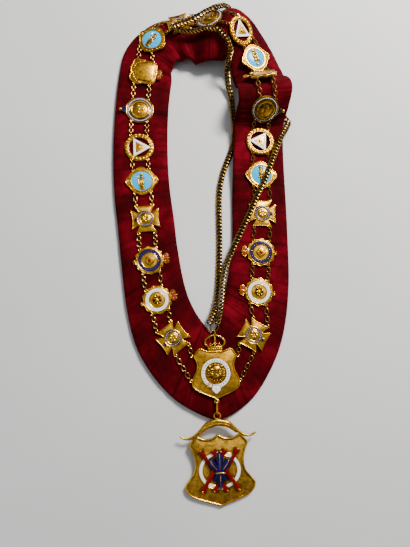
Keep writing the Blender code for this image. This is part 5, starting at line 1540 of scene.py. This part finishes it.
def device_shells():
    """The three charges on the hanging shield, each with its CAD node's name."""
    centre = PENDANT_HEIGHT * 0.50
    half = DEVICE_WIDTH / 2
    low = PENDANT_PLATE - SEAT
    step = DEVICE_LAYER + GAP
    first = PENDANT_PLATE + GAP + DEVICE_LAYER
    outer, inner = half * 0.92, half * 0.72
    ring = [
        moulding("white", (outer + inner) / 2, (outer - inner) / 2, low, first - low - EDGE, (0, 0), 72),
        moulding("gilt", outer - 0.0003, 0.0004, low, first - low, (0, 0), 72),
        moulding("gilt", inner + 0.0003, 0.0004, low, first - low, (0, 0), 72),
    ]
    oval = Matrix.Translation((0, centre, 0)) @ Matrix.Diagonal((RING_STRETCH, 1, 1, 1))
    fret = []
    for side in (-1, 1):
        top = first + step - (EDGE if side < 0 else 0)
        for shift in (-0.30, 0.30):
            ends = [((end * 0.62 * side + shift) * half, centre + end * 0.98 * half) for end in (-1, 1)]
            fret += bordered("red", bar_outline(*ends, half * BATON_SHARE), low, top)
            fret += [boss("gilt", place, 0.0012, top - EDGE, 0.0006, sides=10) for place in ends]
    top = first + 2 * step
    outline = [(x, centre + y) for x, y in mirrored(LILY, DEVICE_WIDTH, half)]
    lily = bordered("blue", outline, low, top)
    lily.append(boss("gilt", (0, centre - 0.11 * half), (0.0054, 0.0012), top - EDGE, 0.0008, sides=14))
    veins = [[(0, 0.05), (0, 0.80)], [(0, -0.25), (0, -0.78)]]
    veins += [[(side * x, y) for x, y in ((0.16, 0.06), (0.36, 0.30), (0.44, 0.46))] for side in (1, -1)]
    for vein in veins:
        lily.append(rod("gilt", [(x * half, centre + y * half, top - EDGE) for x, y in vein], 0.0005))
    return {"pendant_ring": moved(ring, oval), "pendant_fret": fret, "pendant_lily": lily}


# ---- Velvet ----


def cloth_profile():
    """The band's cross-section, closed and evenly refined."""
    places = [index / CLOTH_ROUND for index in range(len(PROFILE) * CLOTH_ROUND)]
    columns = [[min(max(cubic(column, place), 0.0), 1.0) for place in places] for column in zip(*PROFILE)]
    return list(zip(*columns))


def crease_table():
    """Creases across the band: place, middle, half length, slant, width and depth."""
    chance = random.Random(CREASE_SEED)
    made = []
    for index in range(CREASES):
        place = (index + chance.uniform(-0.3, 0.3)) * len(SECTIONS) / CREASES
        middle = chance.choice((0.0, 0.15, 0.85, 1.0, 0.5))
        shape = [chance.uniform(*limits) for limits in ((0.12, 0.55), (-0.16, 0.16), (0.045, 0.10))]
        made.append((place, middle, *shape, chance.uniform(0.15, 1.0) ** 1.5))
    return made


def crease_depth(creases, place, share):
    """How deep the cloth is creased at a place."""
    count = len(SECTIONS)
    total = 0.0
    for middle_place, middle, half, slant, width, depth in creases:
        off = (place - middle_place - slant * (share - middle) + count / 2) % count - count / 2
        if abs(off) > 3 * width:
            continue
        fade = max(1 - ((share - middle) / half) ** 2, 0.0)
        total += depth * fade * math.exp(-((off / width) ** 2))
    return min(total, 1.2)


def simulate_padding(obj):
    """Swells the band as stuffed cloth, and keeps each point near where it started."""
    rest = [vertex.co.copy() for vertex in obj.data.vertices]
    cloth = obj.modifiers.new("Cloth", "CLOTH")
    cloth.settings.quality = 4
    cloth.settings.use_pressure = True
    cloth.settings.uniform_pressure_force = CLOTH_PRESSURE
    cloth.settings.effector_weights.gravity = 0
    cloth.settings.tension_stiffness = 25
    cloth.settings.bending_stiffness = 0.3
    scene = bpy.context.scene
    for step in range(1, CLOTH_FRAMES + 1):
        scene.frame_set(step)
    graph = bpy.context.evaluated_depsgraph_get()
    mesh = bpy.data.meshes.new_from_object(obj.evaluated_get(graph))
    moved_to = [vertex.co.copy() for vertex in mesh.vertices]
    bpy.data.meshes.remove(mesh)
    obj.modifiers.clear()
    scene.frame_set(1)
    for vertex, start, end in zip(obj.data.vertices, rest, moved_to):
        way = end - start
        far = way.length
        if far > 1e-9:
            vertex.co = start + way * (CLOTH_CAP * math.tanh(far / CLOTH_CAP) / far)


def make_velvet(looks, shift):
    """The padded velvet band: simulated, creased across and subdivided."""
    profile = cloth_profile()
    count, steps = len(profile), len(SECTIONS) * CLOTH_STEPS
    obj, spots = band_object("velvet_band", profile, CLOTH_STEPS, CLOTH_NARROW, CLOTH_SLIM)
    simulate_padding(obj)
    creases = crease_table()
    for vertex, (place, across, height) in zip(obj.data.vertices, spots):
        upper = min(max((height - 0.3) / 0.5, 0.0), 1.0)
        if upper > 0:
            depth = crease_depth(creases, place, across) * CREASE_DEPTH * upper
            vertex.co -= pad_direction(place, across) * depth
        vertex.co.z = max(vertex.co.z, GAP / 3)
    band = obj.data.uv_layers.new(name="Band")
    for face in obj.data.polygons:
        first = face.index // count
        for corner in face.loop_indices:
            row, column = divmod(obj.data.loops[corner].vertex_index, count)
            row = row + steps if row < first else row
            band.data[corner].uv = (row / CLOTH_STEPS * BAND_STEP, profile[column][0] * BAND_WIDTH)
    obj.data.transform(shift)
    obj.data.materials.append(looks["velvet"])
    obj.data.shade_smooth()
    smooth = obj.modifiers.new("Subdivision", "SUBSURF")
    smooth.levels = smooth.render_levels = 1
    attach(obj, "root")
    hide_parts("velvet_collar")


# ---- Scene ----


def add_light(name, place, aim, size, power, colour):
    """A soft square light that faces a point."""
    data = bpy.data.lights.new(name, "AREA")
    data.shape = "SQUARE"
    data.size = size
    data.energy = power
    data.color = colour
    light = bpy.data.objects.new(name, data)
    light.location = place
    light.rotation_euler = (Vector(aim) - Vector(place)).to_track_quat("-Z", "Y").to_euler()
    bpy.context.scene.collection.objects.link(light)


def make_stage(shift):
    """The floor, the lights and the camera."""
    corners = [(x * FLOOR_REACH, y * FLOOR_REACH, 0) for x, y in ((-1, -1), (1, -1), (1, 1), (-1, 1))]
    floor = add_object("floor", corners, [(0, 1, 2, 3)])
    floor.data.materials.append(floor_material())
    add_light("key_light", (0.55, 0.80, 0.95), (0, 0, 0), 0.36, 38.0, (1.0, 0.97, 0.93))
    add_light("fill_light", (-0.9, -0.5, 1.2), (0, 0, 0), 1.2, 4.0, (0.93, 0.96, 1.0))
    world = bpy.data.worlds.new("Room")
    world.use_nodes = True
    tree = world.node_tree
    way = tree.nodes.new("ShaderNodeTexCoord").outputs["Generated"]
    slope = add_node(tree, "ShaderNodeVectorMath")
    slope.operation = "DOT_PRODUCT"
    tree.links.new(way, slope.inputs[0])
    slope.inputs[1].default_value = ROOM_LIGHT_SIDE
    walls = add_ramp(tree, slope.outputs["Value"], ROOM_STOPS)
    tree.links.new(walls, tree.nodes["Background"].inputs["Color"])
    tree.nodes["Background"].inputs["Strength"].default_value = ROOM_STRENGTH
    bpy.context.scene.world = world
    data = bpy.data.cameras.new("camera")
    data.lens = CAMERA_LENS
    data.sensor_width = 36.0
    data.sensor_fit = "AUTO"
    data.clip_start = 0.01
    camera = bpy.data.objects.new("camera", data)
    camera.location = shift @ Vector(CAMERA_PLACE)
    camera.rotation_euler = [math.radians(angle) for angle in CAMERA_TURN]
    bpy.context.scene.collection.objects.link(camera)
    bpy.context.scene.camera = camera


def design_shift(collar):
    """How the design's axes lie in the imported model."""
    low = Vector([min(vertex.co[axis] for vertex in collar.data.vertices) for axis in range(3)])
    return Matrix.Translation(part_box("velvet_collar")[0] - low)


def surface_tree(meshes):
    """A search tree over meshes, each with the matrix that moves it."""
    vertices, faces = [], []
    for mesh, matrix in meshes:
        first = len(vertices)
        vertices += [matrix @ vertex.co for vertex in mesh.vertices]
        faces += [[first + index for index in face.vertices] for face in mesh.polygons]
    return BVHTree.FromPolygons(vertices, faces)


def dress():
    """Makes every piece."""
    looks = make_materials()
    collar, _ = band_object("rough_collar", PROFILE, STEPS_PER_SECTION)
    shift = design_shift(collar)
    cloth = [(collar.data, Matrix.Identity(4))]
    tree = surface_tree(cloth)
    packed = [node.data for name, node in frame["nodes"].items() if name.startswith("plaque_")]
    draped = surface_tree(cloth + [(mesh, shift.inverted()) for mesh in packed])
    bpy.data.objects.remove(collar, do_unlink=True)

    make_stage(shift)
    make_velvet(looks, shift)
    frames = plaque_frames(tree)
    shield_frame = drop_frame(SHIELD_TIP, SHIELD_BACK)
    shield_eyes = shield_eye_points(shield_frame)
    reaches = [KINDS[kind][1] for kind, _, _ in PLAQUES]
    starts = [eye_points(place, reach, -1) for place, reach in zip(frames, reaches)] + [shield_eyes[:2]]
    for index, (kind, _, _) in enumerate(PLAQUES):
        place, beyond = frames[index], frames[min(index + 1, len(frames) - 1)]
        normal = (place.to_3x3().col[2] + beyond.to_3x3().col[2]).normalized()
        shells = moved(SHELLS[kind]() + eye_shells(reaches[index]), place)
        for start, end in zip(eye_points(place, reaches[index], 1), starts[index + 1]):
            shells += strand_shells(start, end, normal, tree)
        make_pieces(f"plaque_{index + 1:02d}_{kind}", shells, looks, shift)

    shells = moved(centre_shield_shells(), shield_frame)
    for start, end in zip((shield_eyes[3], shield_eyes[2]), starts[0]):
        shells += strand_shells(start, end, Vector((0, 0, 1)), tree)
    make_pieces("centre_shield", shells, looks, shift)

    flat, radius = ((0, 0, 0), (0, 1, 0), (1, 0, 0)), NECK_RING_RADIUS
    ring = link("brass", *flat, radius, radius, NECK_RING_WIRE, sides=40, wire_sides=12)
    ring_frame = neck_ring_frame()
    half = (LINK_FOOT - LINK_TOP) / 2
    upright = ((0, 0, 0), (0, 1, 0), (0, 0, 1))
    drop = link("gilt", *upright, half, LINK_CLEAR, DROP_LINK_WIRE, sides=32, wire_sides=12)
    hanging = pendant_frame()
    for node, shells, place in (
        ("centre_belt", belt_shells(), shield_frame),
        ("centre_mask", mask_shells(), shield_frame),
        ("neck_ring", [ring], ring_frame),
        ("neck_chain", curb_shells(chain_points(draped, ring_frame)), Matrix.Identity(4)),
        ("drop_link", [drop], drop_frame(LINK_TOP + half, LINK_HEIGHT)),
        ("pendant_shield", pendant_shells(), hanging),
        *[(node, shells, hanging) for node, shells in device_shells().items()],
    ):
        make_pieces(node, moved(shells, place), looks, shift)


dress()
